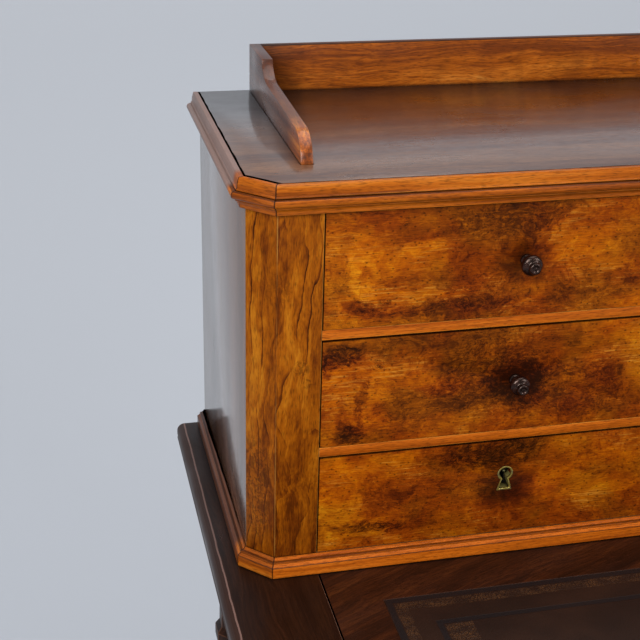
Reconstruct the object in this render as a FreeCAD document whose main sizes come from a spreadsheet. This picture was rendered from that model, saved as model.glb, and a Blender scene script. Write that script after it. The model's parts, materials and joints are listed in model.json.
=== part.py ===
import FreeCAD, Part
import math
import os
import re
import Sketcher

# A walnut writing desk: leg frame, desk top with a pull-out writing slide, and a case of six drawers.
# Millimetres. The origin is on the floor under the middle of the desk, the front faces -Y, up is +Z.

Vector = FreeCAD.Vector
document = FreeCAD.newDocument("writing_desk")

overall_sizes = [
    ("desk_height", "760", "floor to desk top surface"),
    ("desk_depth", "635", "desk top, front to back"),
    ("case_width", "908", "upper case and leg frame, side to side"),
    ("top_overhang", "31.5", "desk top beyond the case at each side"),
    ("frame_setback", "30", "leg frame behind the desk top's front and back edges"),
    ("overrun", "30", "how far cuts run past what they cut"),
    ("running_gap", "0.3", "under a drawer or the slide, and past a stop"),
    ("glue_gap", "0.3", "between a tongue, tenon or spigot and the end of its hole"),
]

case_sizes = [
    ("case_depth", "298", "upper case, front to back"),
    ("case_setback", "6", "upper case in front of the desk top's back edge"),
    ("cant", "23.3", "corner chamfer, measured along each face"),
    ("turn_angle", "45", "turn of the mouldings at each end of a cant"),
    ("stile_width", "40.7", "flat front of a corner post"),
    ("post_depth", "30", "corner posts, rails and centre stile, front to back"),
    ("centre_width", "42", "centre stile"),
    ("side_thickness", "18", "case sides"),
    ("partition_thickness", "18", "board behind the centre stile"),
    ("back_thickness", "8", "back panel"),
    ("back_rebate", "8", "how far the back panel reaches into each side"),
    ("base_thickness", "19", "bottom board, and height of the base moulding"),
    ("rail_thickness", "9.8", "drawer rails, dust boards and kickers"),
    ("top_thickness", "17.1", "top board"),
    ("bottom_opening", "104.9", "clear height of the lowest drawer opening"),
    ("middle_opening", "109", "clear height of the middle drawer opening"),
    ("top_opening", "110.6", "clear height of the top drawer opening"),
    ("housing_depth", "5", "rails and dust boards let into posts and sides"),
    ("housing_shoulder", "6", "rail front that hides its housing"),
    ("tongue_shoulder", "3", "side's inner face to its tongue"),
    ("tongue_thickness", "5", "tongue on a side's front edge"),
    ("tongue_length", "6", "tongue on a side's front edge"),
    ("guide_height", "20", "guide strips beside the drawers"),
    ("kicker_reach", "12", "how far a kicker reaches over a drawer side"),
]

moulding_sizes = [
    ("top_lip", "1.5", "top board beyond the case faces, behind the cornice"),
    ("cornice_projection", "13.8", "cornice beyond the case faces"),
    ("base_projection", "8.6", "base moulding beyond the case faces"),
    ("gallery_height", "47.5", "gallery above the top board"),
    ("gallery_housing", "2", "gallery let into the top board"),
    ("gallery_clearance", "0.1", "between the gallery and the walls of its housing"),
    ("gallery_low_height", "29.2", "gallery end under its cove"),
    ("gallery_toe_height", "25.3", "gallery end where its toe turns down"),
    ("gallery_thickness", "11.1", "gallery ends"),
    ("gallery_back_thickness", "8", "gallery back board"),
    ("gallery_inset", "52.3", "gallery end in from the case side"),
    ("gallery_toe", "44.5", "gallery end's toe behind the case front"),
    ("gallery_toe_length", "29.5", "rounded part of the toe"),
    ("gallery_level", "67", "level top of a gallery end"),
    ("gallery_cove", "28", "hollow of a gallery end, front to back"),
]

drawer_sizes = [
    ("drawer_side_gap", "1", "drawer to opening at each side"),
    ("drawer_top_gap", "2.2", "above a drawer"),
    ("drawer_end_gap", "15", "behind an upper drawer"),
    ("drawer_stop", "5", "height of the slips that stop a drawer flush"),
    ("drawer_stop_width", "45", "the same slips, side to side"),
    ("front_thickness", "18", "drawer fronts"),
    ("front_lap", "6", "wood of a front that hides the dovetails"),
    ("drawer_board", "8", "sides and back of an upper drawer"),
    ("frieze_board", "10", "sides and back of the frieze drawer"),
    ("drawer_bottom", "5", "drawer bottoms"),
    ("groove_depth", "4", "groove for a drawer bottom"),
    ("groove_height", "7", "groove above a drawer's lower edge"),
    ("back_drop", "4", "drawer back below the sides' upper edges"),
    ("frieze_drawer_length", "480", "frieze drawer, front to back"),
    ("knob_radius", "9.8", "turned knobs"),
    ("knob_projection", "24", "turned knobs"),
    ("spigot_radius", "4", "spigot behind a knob"),
    ("escutcheon_height", "26.5", "brass escutcheon"),
    ("escutcheon_width", "15.7", "brass escutcheon"),
    ("escutcheon_rim", "1.7", "thickness of its thread of brass"),
    ("escutcheon_depth", "2.5", "how deep it is let in"),
    ("keyway_width", "4", "slot for the key in the lock case"),
    ("escutcheon_waist", "8.4", "its narrowest, under the round head"),
    ("key_drop", "41.5", "keyhole's middle below the front's upper edge"),
    ("foot_splay", "1.3", "how much faster than the rim its foot narrows"),
    ("lock_width", "62", "lock case"),
    ("lock_height", "60", "lock case, down from the front's upper edge"),
    ("lock_depth", "8", "lock case let into the front"),
    ("keyway_share", "0.75", "of the lock case's depth"),
    ("bolt_width", "24", "lock bolt, drawn back into the case"),
    ("bolt_height", "10", "lock bolt"),
    ("bolt_depth", "5", "lock bolt"),
]

frame_sizes = [
    ("desk_top_thickness", "22", "cheeks and rear board of the desk top"),
    ("edge_depth", "8", "rounded edge of the desk top, measured inwards"),
    ("edge_band", "24", "moulded band round a cheek"),
    ("rear_board_width", "58", "fixed board behind the writing slide"),
    ("slide_gap", "0.9", "gap between the slide and each cheek"),
    ("slide_drop", "0.5", "slide's surface below the cheeks"),
    ("slide_travel", "210", "how far the writing slide pulls out"),
    ("stop_length", "20", "stop blocks under the slide, front to back"),
    ("stop_width", "60", "stop blocks under the slide, side to side"),
    ("leather_margin", "50", "wood left round the leather"),
    ("leather_thickness", "1.2", "leather, let in flush"),
    ("frieze_height", "130", "aprons and leg blocks"),
    ("upper_rail", "12", "rail over the frieze drawer"),
    ("lower_rail", "16", "rail under the frieze drawer"),
    ("rail_tenon", "15", "tenon of a front rail"),
    ("rail_tenon_width", "30", "tenon of a front rail"),
    ("rail_tenon_inset", "10", "tenon behind a front rail's front edge"),
    ("runner_width", "50", "frieze drawer runners and slide bearers"),
    ("leg_block", "58", "square head of a leg"),
    ("leg_reach", "27", "from a leg's axis to the flats of its widest collar"),
    ("apron_thickness", "20", "side and back aprons"),
    ("apron_setback", "4", "aprons behind the leg blocks' faces"),
    ("tenon_thickness", "8", "apron tenons"),
    ("tenon_length", "20", "apron tenons"),
    ("tenon_shoulder", "15", "apron tenon below and above the apron's edges"),
]

layout_formulas = [
    ("half_width", "case_width / 2", "case side from the middle"),
    ("mitre", "tan(turn_angle / 2)", "spread of a mitre for each unit of projection"),
    ("case_back", "desk_depth / 2 - case_setback", "back of the upper case"),
    ("case_front", "case_back - case_depth", "front of the upper case"),
    ("post_width", "cant + stile_width", "corner post, side to side"),
    ("tongue_inset", "side_thickness - tongue_shoulder - tongue_thickness", "tongue behind the outer face"),
    ("bank_width", "half_width - post_width - centre_width / 2", "a drawer opening"),
    ("bank_middle", "(centre_width + bank_width) / 2", "middle of a bank of drawers"),
    ("bottom_floor", "base_thickness", "what the lowest drawers run on"),
    ("middle_floor", "bottom_floor + bottom_opening + rail_thickness", "what the middle drawers run on"),
    ("top_floor", "middle_floor + middle_opening + rail_thickness", "what the top drawers run on"),
    ("case_height", "top_floor + top_opening + rail_thickness", "underside of the top board"),
    ("surface_height", "case_height + top_thickness", "upper face of the top board"),
    ("cornice_height", "rail_thickness + top_thickness", "cornice"),
    ("inner_depth", "case_depth - back_thickness", "case inside, front plane to back panel"),
    ("frame_depth", "desk_depth - 2 * frame_setback", "leg frame, front to back"),
    ("frame_top", "desk_height - desk_top_thickness", "top of the leg frame"),
    ("shaft_height", "frame_top - frieze_height", "eight-sided part of a leg"),
    ("apron_place", "apron_setback + apron_thickness / 2", "middle of an apron from the blocks' faces"),
    ("frieze_opening_width", "case_width - 2 * leg_block", "frieze drawer opening"),
    ("frieze_opening_height", "frieze_height - upper_rail - lower_rail", "frieze drawer opening"),
    ("cheek_width", "top_overhang + post_width", "cheek up to the middle of the slide's gap"),
    ("top_cant", "cant + top_overhang * (1 - mitre)", "corner chamfer of the desk top"),
    ("slide_width", "case_width - 2 * post_width - 2 * slide_gap", "writing slide"),
    ("slide_thickness", "desk_top_thickness - slide_drop - running_gap", "writing slide"),
    ("slide_length", "desk_depth - rear_board_width - running_gap", "writing slide"),
]

sheet_of_alias = {}


def qualified(expression):
    """Put its sheet's name before each alias in an expression."""
    return re.sub(r"[a-z_]+", lambda word: sheet_of_alias.get(word.group(), "") + word.group(), expression)


def fill_sheet(name, rows):
    """A sheet with a note, a value or formula and an alias to each row."""
    sheet = document.addObject("Spreadsheet::Sheet", name)
    for number, (alias, content, note) in enumerate(rows, start=1):
        sheet.set(f"A{number}", note)
        sheet.set(f"B{number}", content)
        sheet.setAlias(f"B{number}", alias)
    document.recompute()
    return sheet


sizes = fill_sheet("Sizes", overall_sizes + case_sizes + moulding_sizes + drawer_sizes + frame_sizes)
for row in overall_sizes + case_sizes + moulding_sizes + drawer_sizes + frame_sizes:
    sheet_of_alias[row[0]] = "Sizes."
layout = fill_sheet("Layout", [(row[0], "=" + qualified(row[1]), row[2]) for row in layout_formulas])
for row in layout_formulas:
    sheet_of_alias[row[0]] = "Layout."


def value(expression):
    """What an expression comes to now."""
    return float(layout.evalExpression(qualified(expression)))


def bind(item, path, expression):
    item.setExpression(path, qualified(expression))


def place(item, across, back, up):
    """Tie an object's place to the sheets."""
    bind(item, "Placement.Base.x", across)
    bind(item, "Placement.Base.y", back)
    bind(item, "Placement.Base.z", up)


def new_body(name):
    body = document.addObject("PartDesign::Body", name)
    body.Label = name
    return body


def flipped(corners):
    """The same outline on the other side of the sketch's upright axis."""
    return [(f"-({corner[0]})", corner[1]) + tuple(-swell for swell in corner[2:]) for corner in corners]


def rectangle(left, low, right, high):
    return [(left, low), (right, low), (right, high), (left, high)]


def hold(sketch, edge, end, point, across, rise):
    """Tie one point of a sketch to its two distances from the origin."""
    for kind, distance, text in (("DistanceX", point.x, across), ("DistanceY", point.y, rise)):
        held = sketch.addConstraint(Sketcher.Constraint(kind, -1, 1, edge, end, distance))
        bind(sketch, f"Constraints[{held}]", text)


def add_outline(sketch, corners, closed=True):
    """Lines and arcs through the corners, each corner held by its two distances from the origin.

    A corner is (x, y) or (x, y, swell). Swell is the height of the arc to the next corner as a share of
    its chord, positive where the arc stands out to the right of the way the outline runs.
    """
    points = [Vector(value(corner[0]), value(corner[1]), 0) for corner in corners]
    following = list(range(1, len(corners))) + ([0] if closed else [])
    ends = []
    for number, next_number in enumerate(following):
        start, end = points[number], points[next_number]
        swell = corners[number][2] if len(corners[number]) > 2 else 0
        if not swell:
            ends.append((sketch.addGeometry(Part.LineSegment(start, end)), 1, 2))
            continue
        chord = end - start
        factor = (1 + 4 * swell ** 2) / (8 * abs(swell))
        radius = chord.Length * factor
        left_normal = Vector(-chord.y, chord.x, 0).normalize()
        reach = radius - abs(swell) * chord.Length
        centre = (start + end) * 0.5 + left_normal * math.copysign(reach, swell if reach > 0 else -swell)
        first, last = (start, end) if swell > 0 else (end, start)
        circle = Part.Circle(centre, Vector(0, 0, 1), radius)
        angles = [math.atan2(point.y - centre.y, point.x - centre.x) for point in (first, last)]
        if angles[1] < angles[0]:
            angles[1] += 2 * math.pi
        edge = sketch.addGeometry(Part.ArcOfCircle(circle, angles[0], angles[1]))
        ends.append((edge, 1, 2) if swell > 0 else (edge, 2, 1))
        across = f"({corners[next_number][0]}) - ({corners[number][0]})"
        rise = f"({corners[next_number][1]}) - ({corners[number][1]})"
        held = sketch.addConstraint(Sketcher.Constraint("Radius", edge, radius))
        bind(sketch, f"Constraints[{held}]", f"sqrt(({across})^2 + ({rise})^2) * {factor}")
    for number, next_number in enumerate(following):
        if next_number < len(ends):
            edge, _, finish = ends[number]
            next_edge, begin, _ = ends[next_number]
            sketch.addConstraint(Sketcher.Constraint("Coincident", edge, finish, next_edge, begin))
    for number, (across, rise) in enumerate(corner[:2] for corner in corners):
        edge, end = ends[number][:2] if number < len(ends) else ends[-1][::2]
        hold(sketch, edge, end, points[number], across, rise)


def add_circle(sketch, across, rise, radius):
    """A circle held by its centre's two distances from the origin and by its radius."""
    centre = Vector(value(across), value(rise), 0)
    edge = sketch.addGeometry(Part.Circle(centre, Vector(0, 0, 1), value(radius)))
    hold(sketch, edge, 3, centre, across, rise)
    held = sketch.addConstraint(Sketcher.Constraint("Radius", edge, value(radius)))
    bind(sketch, f"Constraints[{held}]", radius)


def draw(body, name, plane, outlines, offset="0", closed=True):
    """A sketch on one of the body's own planes, moved along the plane's normal by offset."""
    sketch = body.newObject("Sketcher::SketchObject", name)
    support = [feature for feature in body.Origin.OriginFeatures if feature.Role == plane][0]
    sketch.AttachmentSupport = [(support, "")]
    sketch.MapMode = "FlatFace"
    bind(sketch, "AttachmentOffset.Base.z", offset)
    for corners in outlines:
        add_outline(sketch, corners, closed)
    return sketch


def pad(body, sketch, length, side="One side", reverse=False):
    feature = body.newObject("PartDesign::Pad", sketch.Name + "_pad")
    feature.Profile = sketch
    bind(feature, "Length", length)
    feature.SideType = side
    feature.Reversed = reverse
    return feature


def pocket(body, sketch, depth=None, reverse=False):
    """A cut down from the sketch by depth, or right through both ways."""
    feature = body.newObject("PartDesign::Pocket", sketch.Name + "_pocket")
    feature.Profile = sketch
    if depth is None:
        feature.Type = "ThroughAll"
        feature.SideType = "Symmetric"
    else:
        bind(feature, "Length", depth)
        feature.Reversed = reverse
    return feature


def mirror(body, features, plane):
    """The same cuts on the other side of one of the body's planes."""
    feature = body.newObject("PartDesign::Mirrored", features[0].Name + "_mirrored")
    feature.Originals = features
    feature.MirrorPlane = ([item for item in body.Origin.OriginFeatures if item.Role == plane][0], [""])
    body.Tip = feature


def board(name, length, depth, height, across, back, up):
    """A plain rectangular board with its lowest, front left corner at the given place."""
    box = document.addObject("Part::Box", name)
    box.Label = name
    bind(box, "Length", length)
    bind(box, "Width", depth)
    bind(box, "Height", height)
    place(box, across, back, up)
    return box


def group(name, pieces):
    """Separate solids that share one node."""
    compound = document.addObject("Part::Compound", name)
    compound.Label = name
    for number, piece in enumerate(pieces, start=1):
        piece.Label = f"{name}_piece_{number}"
    compound.Links = pieces
    return compound


nodes = []
sides = (("left", "-", 1), ("right", "", -1))


def mirrored_if_right(corners, hand):
    return corners if hand > 0 else flipped(corners)


# Upper case: sides with housings for the boards, tongued into the corner posts.

floors = ("bottom_floor", "middle_floor", "top_floor")
openings = ("bottom_opening", "middle_opening", "top_opening")
shelf_levels = tuple((f"{floor} - rail_thickness", floor) for floor in floors[1:])
rail_levels = shelf_levels + (("case_height - rail_thickness", "case_height"),)


def rail_mortises():
    return [
        rectangle("housing_shoulder", low, "post_depth + overrun", high)
        for low, high in rail_levels
    ]


def upper_side(side, sign, hand):
    body = new_body(f"upper_side_{side}")
    tongue_end = "tongue_inset + tongue_thickness"
    plan = [
        ("0", "cant"),
        ("tongue_inset", "cant"),
        ("tongue_inset", "cant - tongue_length"),
        (tongue_end, "cant - tongue_length"),
        (tongue_end, "cant"),
        ("side_thickness", "cant"),
        ("side_thickness", "case_depth - back_thickness"),
        ("side_thickness - back_rebate", "case_depth - back_thickness"),
        ("side_thickness - back_rebate", "case_depth"),
        ("0", "case_depth"),
    ]
    plan_sketch = draw(body, f"upper_side_{side}_plan", "XY_Plane", [mirrored_if_right(plan, hand)])
    pad(body, plan_sketch, "case_height")
    levels = (("0", "base_thickness"),) + shelf_levels
    housings = [
        rectangle("side_thickness - housing_depth", low, "side_thickness + overrun", high)
        for low, high in levels
    ]
    housings = [mirrored_if_right(housing, hand) for housing in housings]
    pocket(body, draw(body, f"upper_side_{side}_housings", "XZ_Plane", housings))
    place(body, f"{sign}half_width", "case_front", "desk_height")
    nodes.append(body)


def corner_post(side, sign, hand):
    body = new_body(f"corner_post_{side}")
    tongue_end = "tongue_inset + tongue_thickness"
    groove_end = "cant - tongue_length - glue_gap"
    plan = [
        ("0", "cant"),
        ("cant", "0"),
        ("post_width", "0"),
        ("post_width", "post_depth"),
        ("side_thickness", "post_depth"),
        ("side_thickness", "cant"),
        (tongue_end, "cant"),
        (tongue_end, groove_end),
        ("tongue_inset", groove_end),
        ("tongue_inset", "cant"),
    ]
    plan_sketch = draw(body, f"corner_post_{side}_plan", "XY_Plane", [mirrored_if_right(plan, hand)])
    pad(body, plan_sketch, "case_height")
    face = "post_width" if hand > 0 else "-post_width"
    mortise_sketch = draw(body, f"corner_post_{side}_mortises", "YZ_Plane", rail_mortises(), face)
    pocket(body, mortise_sketch, "housing_depth", reverse=hand < 0)
    place(body, f"{sign}half_width", "case_front", "desk_height")
    nodes.append(body)


for side, sign, hand in sides:
    upper_side(side, sign, hand)
    corner_post(side, sign, hand)


def drawer_rail(name, sign, level):
    """A rail whose ends are housed behind its front edge."""
    body = new_body(name)
    plan = [
        ("-bank_width / 2", "0"),
        ("bank_width / 2", "0"),
        ("bank_width / 2", "housing_shoulder"),
        ("bank_width / 2 + housing_depth", "housing_shoulder"),
        ("bank_width / 2 + housing_depth", "post_depth"),
        ("-bank_width / 2 - housing_depth", "post_depth"),
        ("-bank_width / 2 - housing_depth", "housing_shoulder"),
        ("-bank_width / 2", "housing_shoulder"),
    ]
    pad(body, draw(body, name + "_plan", "XY_Plane", [plan]), "rail_thickness")
    place(body, f"{sign}bank_middle", "case_front", f"desk_height + {level}")
    return body


for side, sign, hand in sides:
    rails = [
        drawer_rail(f"rail_{side}_{number}", sign, low)
        for number, (low, high) in enumerate(rail_levels)
    ]
    nodes.append(group(f"drawer_rails_{side}", rails))


def centre_stile():
    body = new_body("centre_stile")
    plan = rectangle("-centre_width / 2", "0", "centre_width / 2", "post_depth")
    plan_sketch = draw(body, "centre_stile_plan", "XY_Plane", [plan], "bottom_floor")
    pad(body, plan_sketch, "case_height - bottom_floor")
    face = "centre_width / 2"
    mortise_sketch = draw(body, "centre_stile_mortises", "YZ_Plane", rail_mortises(), face)
    mirror(body, [pocket(body, mortise_sketch, "housing_depth")], "YZ_Plane")
    place(body, "0", "case_front", "desk_height")
    nodes.append(body)


def centre_partition():
    body = new_body("centre_partition")
    edge = "partition_thickness / 2"
    plan = rectangle(f"-{edge}", "post_depth", edge, "inner_depth")
    plan_sketch = draw(body, "partition_plan", "XY_Plane", [plan], "bottom_floor")
    pad(body, plan_sketch, "case_height - bottom_floor")
    housings = [
        rectangle(f"{edge} - housing_depth", low, f"{edge} + overrun", high)
        for low, high in shelf_levels
    ]
    housings += [flipped(housing) for housing in housings]
    pocket(body, draw(body, "partition_housings", "XZ_Plane", housings))
    place(body, "0", "case_front", "desk_height")
    nodes.append(body)


def upper_bottom():
    """Bottom board, notched round the corner posts and housed in the sides."""
    body = new_body("upper_bottom")
    front_edge = "half_width - post_width"
    rear_edge = "half_width - side_thickness + housing_depth"
    half = [
        (front_edge, "0"),
        (front_edge, "post_depth"),
        (rear_edge, "post_depth"),
        (rear_edge, "inner_depth"),
    ]
    plan = half + [(f"-({across})", back) for across, back in reversed(half)]
    pad(body, draw(body, "upper_bottom_plan", "XY_Plane", [plan]), "base_thickness")
    place(body, "0", "case_front", "desk_height")
    nodes.append(body)


gallery_outer = "(half_width - gallery_inset)"
gallery_inner = "(half_width - gallery_inset - gallery_thickness)"


def top_board():
    """Top board with a lip that carries the cornice, and a housing for the gallery's three boards."""
    body = new_body("top_board")
    corner = "cant - top_lip * mitre"
    half = [
        (f"half_width - ({corner})", "-top_lip"),
        ("half_width + top_lip", corner),
        ("half_width + top_lip", "case_depth"),
    ]
    plan = half + [(f"-({across})", back) for across, back in reversed(half)]
    pad(body, draw(body, "top_board_plan", "XY_Plane", [plan]), "top_thickness")
    outer_wall = f"{gallery_outer} + gallery_clearance"
    inner_wall = f"{gallery_inner} - gallery_clearance"
    front_wall = "gallery_toe - gallery_clearance"
    half = [
        (inner_wall, "case_depth - gallery_back_thickness - gallery_clearance"),
        (inner_wall, front_wall),
        (outer_wall, front_wall),
        (outer_wall, "case_depth + overrun"),
    ]
    housing = half + [(f"-({across})", back) for across, back in reversed(half)]
    housing_sketch = draw(body, "gallery_housing_plan", "XY_Plane", [housing], "top_thickness")
    pocket(body, housing_sketch, "gallery_housing")
    place(body, "0", "case_front", "desk_height + case_height")
    nodes.append(body)


centre_stile()
centre_partition()
upper_bottom()
top_board()

back_reach = "half_width - side_thickness + back_rebate"
nodes.append(
    board(
        "upper_back",
        f"2 * ({back_reach})",
        "back_thickness",
        "case_height",
        f"-({back_reach})",
        "case_back - back_thickness",
        "desk_height",
    )
)

strip_depth = "inner_depth - post_depth"
strip_back = "case_front + post_depth"
outer_face = "half_width - side_thickness"
inner_face = "partition_thickness / 2"


def strip(name, hand, near, far, height, up, depth=strip_depth, back=strip_back):
    """A strip from near to far of the middle, on the left where hand is positive."""
    across = f"-({far})" if hand > 0 else near
    return board(name, f"({far}) - ({near})", depth, height, across, back, up)




def drawer_stop(name, hand, middle, back, up):
    """A slip glued behind a closed front and under its drawer's bottom."""
    near = f"{middle} - drawer_stop_width / 2"
    far = f"{middle} + drawer_stop_width / 2"
    depth = "post_depth - front_thickness - running_gap"
    stop_back = f"{back} + front_thickness + running_gap"
    return strip(name, hand, near, far, "drawer_stop", up, depth, stop_back)


dust_boards = []
guides = []
post_edge = "half_width - post_width"
stile_edge = "centre_width / 2"
for side, sign, hand in sides:
    for number, (low, high) in enumerate(shelf_levels):
        dust_boards.append(
            strip(
                f"dust_board_{side}_{number}",
                hand,
                f"{inner_face} - housing_depth",
                f"{outer_face} + housing_depth",
                "rail_thickness",
                f"desk_height + {low}",
            )
        )
    for floor in floors:
        label = f"{side}_{floor}"
        up = f"desk_height + {floor}"
        guides += [
            strip(f"outer_guide_{label}", hand, post_edge, outer_face, "guide_height", up),
            strip(f"inner_guide_{label}", hand, inner_face, stile_edge, "guide_height", up),
        ]
        for number, offset in enumerate(("- bank_width / 3", "+ bank_width / 3")):
            stop_name = f"drawer_stop_{label}_{number}"
            guides.append(drawer_stop(stop_name, hand, f"(bank_middle {offset})", "case_front", up))
    kicker_up = "desk_height + case_height - rail_thickness"
    outer_near = f"{post_edge} - kicker_reach"
    inner_far = f"{stile_edge} + kicker_reach"
    guides.append(strip(f"outer_kicker_{side}", hand, outer_near, outer_face, "rail_thickness", kicker_up))
    guides.append(strip(f"inner_kicker_{side}", hand, inner_face, inner_far, "rail_thickness", kicker_up))
nodes.append(group("dust_boards", dust_boards))
nodes.append(group("drawer_guides", guides))

# Mouldings, each length cut from one section and mitred where it turns the canted corners.
# Shares are outward and downward, then the swell of the curve to the next point.

cornice_shares = [
    (0.43, 0, 0.04),
    (0.56, 0.33, -0.18),
    (0.64, 0.375),
    (0.64, 0.405),
    (0.58, 0.425),
    (0.70, 0.425, 0.48),
    (0.70, 0.69),
    (0.66, 0.71),
    (0.66, 0.745, -0.18),
    (0.39, 0.945),
    (0.37, 1),
]
base_shares = [
    (0.14, 0, -0.2),
    (0.53, 0.14, 0.45),
    (0.58, 0.24),
    (0.93, 0.35),
    (1, 0.385),
    (1, 0.96),
    (0.96, 1),
]


def section(shares, projection, height):
    """Outer points of a moulding's section in the plane across its run."""
    return [
        (f"-{projection} * {share[0]}", f"-{height} * {share[1]}") + share[2:]
        for share in shares
    ]


cornice_section = (
    [("-top_lip", "0")]
    + section(cornice_shares, "cornice_projection", "cornice_height")
    + [("0", "-cornice_height"), ("0", "-top_thickness"), ("-top_lip", "-top_thickness")]
)
base_section = (
    [("0", "0")]
    + section(base_shares, "base_projection", "base_thickness")
    + [("0", "-base_thickness")]
)


def moulding_length(name, corners, run, start_mitre, end_mitre, across, back, up, turned):
    """One length along its own X, with its face at Y zero; each end is square or mitred."""
    body = new_body(name)
    body.Placement.Rotation = FreeCAD.Rotation(Vector(0, 0, 1), turned)
    section_sketch = draw(body, name + "_section", "YZ_Plane", [corners], "-overrun / 2")
    pad(body, section_sketch, f"{run} + overrun")
    start = "mitre" if start_mitre else "0"
    end = "mitre" if end_mitre else "0"
    waste = [
        [
            (f"overrun * {start}", "overrun"),
            ("-overrun", "overrun"),
            ("-overrun", "-overrun"),
            (f"-overrun * {start}", "-overrun"),
        ],
        [
            (f"{run} - overrun * {end}", "overrun"),
            (f"{run} + overrun * {end}", "-overrun"),
            (f"{run} + overrun", "-overrun"),
            (f"{run} + overrun", "overrun"),
        ],
    ]
    pocket(body, draw(body, name + "_ends", "XY_Plane", waste))
    place(body, across, back, up)
    return body


def moulding(name, corners, up):
    """Front, two cants and two returns round the upper case."""
    side_run = "(case_depth - cant)"
    cant_run = "(cant / cos(turn_angle))"
    front_run = "(case_width - 2 * cant)"
    front_corner = "(half_width - cant)"
    cant_back = "case_front + cant"
    lengths = {
        "front": [(front_run, True, True, f"-{front_corner}", "case_front", 0)],
        "left": [
            (side_run, False, True, "-half_width", "case_back", -90),
            (cant_run, True, True, "-half_width", cant_back, -45),
        ],
        "right": [
            (side_run, True, False, "half_width", cant_back, 90),
            (cant_run, True, True, front_corner, "case_front", 45),
        ],
    }
    for part, rows in lengths.items():
        made = [
            moulding_length(f"{name}_{part}_{number}", corners, *row[:5], up, row[5])
            for number, row in enumerate(rows)
        ]
        if part == "front":
            made[0].Label = f"{name}_{part}"
            nodes.append(made[0])
        else:
            nodes.append(group(f"{name}_{part}", made))


moulding("cornice", cornice_section, "desk_height + surface_height")
moulding("base_moulding", base_section, "desk_height + base_thickness")

# Gallery: a back board between two ends, each with a hollow behind a long low arm and a rounded toe.

cove_share = 0.15
toe_share = 0.18


def gallery_end(side, sign, hand):
    body = new_body(f"gallery_end_{side}")
    level_start = "case_depth - gallery_level"
    outline = [
        ("gallery_toe", "-gallery_housing"),
        ("case_depth", "-gallery_housing"),
        ("case_depth", "gallery_height"),
        (level_start, "gallery_height", -cove_share),
        (f"{level_start} - gallery_cove", "gallery_low_height"),
        ("gallery_toe + gallery_toe_length", "gallery_toe_height", toe_share),
        ("gallery_toe", "0"),
    ]
    sketch = draw(body, f"gallery_end_{side}_outline", "YZ_Plane", [outline])
    pad(body, sketch, "gallery_thickness", reverse=hand < 0)
    place(body, f"{sign}{gallery_outer}", "case_front", "desk_height + surface_height")
    nodes.append(body)


for side, sign, hand in sides:
    gallery_end(side, sign, hand)

nodes.append(
    board(
        "gallery_back",
        f"2 * {gallery_inner}",
        "gallery_back_thickness",
        "gallery_height + gallery_housing",
        f"-{gallery_inner}",
        "case_back - gallery_back_thickness",
        "desk_height + surface_height - gallery_housing",
    )
)

# Drawers: a front with lapped dovetails, two sides, a back with through dovetails, and a bottom in grooves.

tail_count = 3
tail_tip_share = 0.36
tail_root_share = 0.30


def tails(tip, root, low, height):
    """Outlines of the dovetail tails between two depths, spread over a height."""
    outlines = []
    for number in range(tail_count):
        middle = f"({low}) + ({height}) * {(number + 0.5) / tail_count}"
        tip_half = f"({height}) * {tail_tip_share / tail_count}"
        root_half = f"({height}) * {tail_root_share / tail_count}"
        outlines.append(
            [
                (root, f"{middle} - {root_half}"),
                (tip, f"{middle} - {tip_half}"),
                (tip, f"{middle} + {tip_half}"),
                (root, f"{middle} + {root_half}"),
            ]
        )
    return outlines


def keyhole(rim, up):
    """The escutcheon's outline, a rim's width inside its outer edge: a flared foot under a round head."""
    foot = f"(escutcheon_width / 2 - {rim} * foot_splay)"
    waist = f"(escutcheon_waist / 2 - {rim})"
    head = f"(escutcheon_width / 2 - {rim})"
    drop = f"sqrt({head}^2 - {waist}^2)"
    low = f"({up}) - escutcheon_height / 2 + {rim}"
    waist_height = f"({up}) + (escutcheon_height - escutcheon_width) / 2 - {drop}"
    head_swell = (value(head) + value(drop)) / (2 * value(waist))
    return [(f"-{foot}", low), (foot, low), (waist, waist_height, head_swell), (f"-{waist}", waist_height)]


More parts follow.
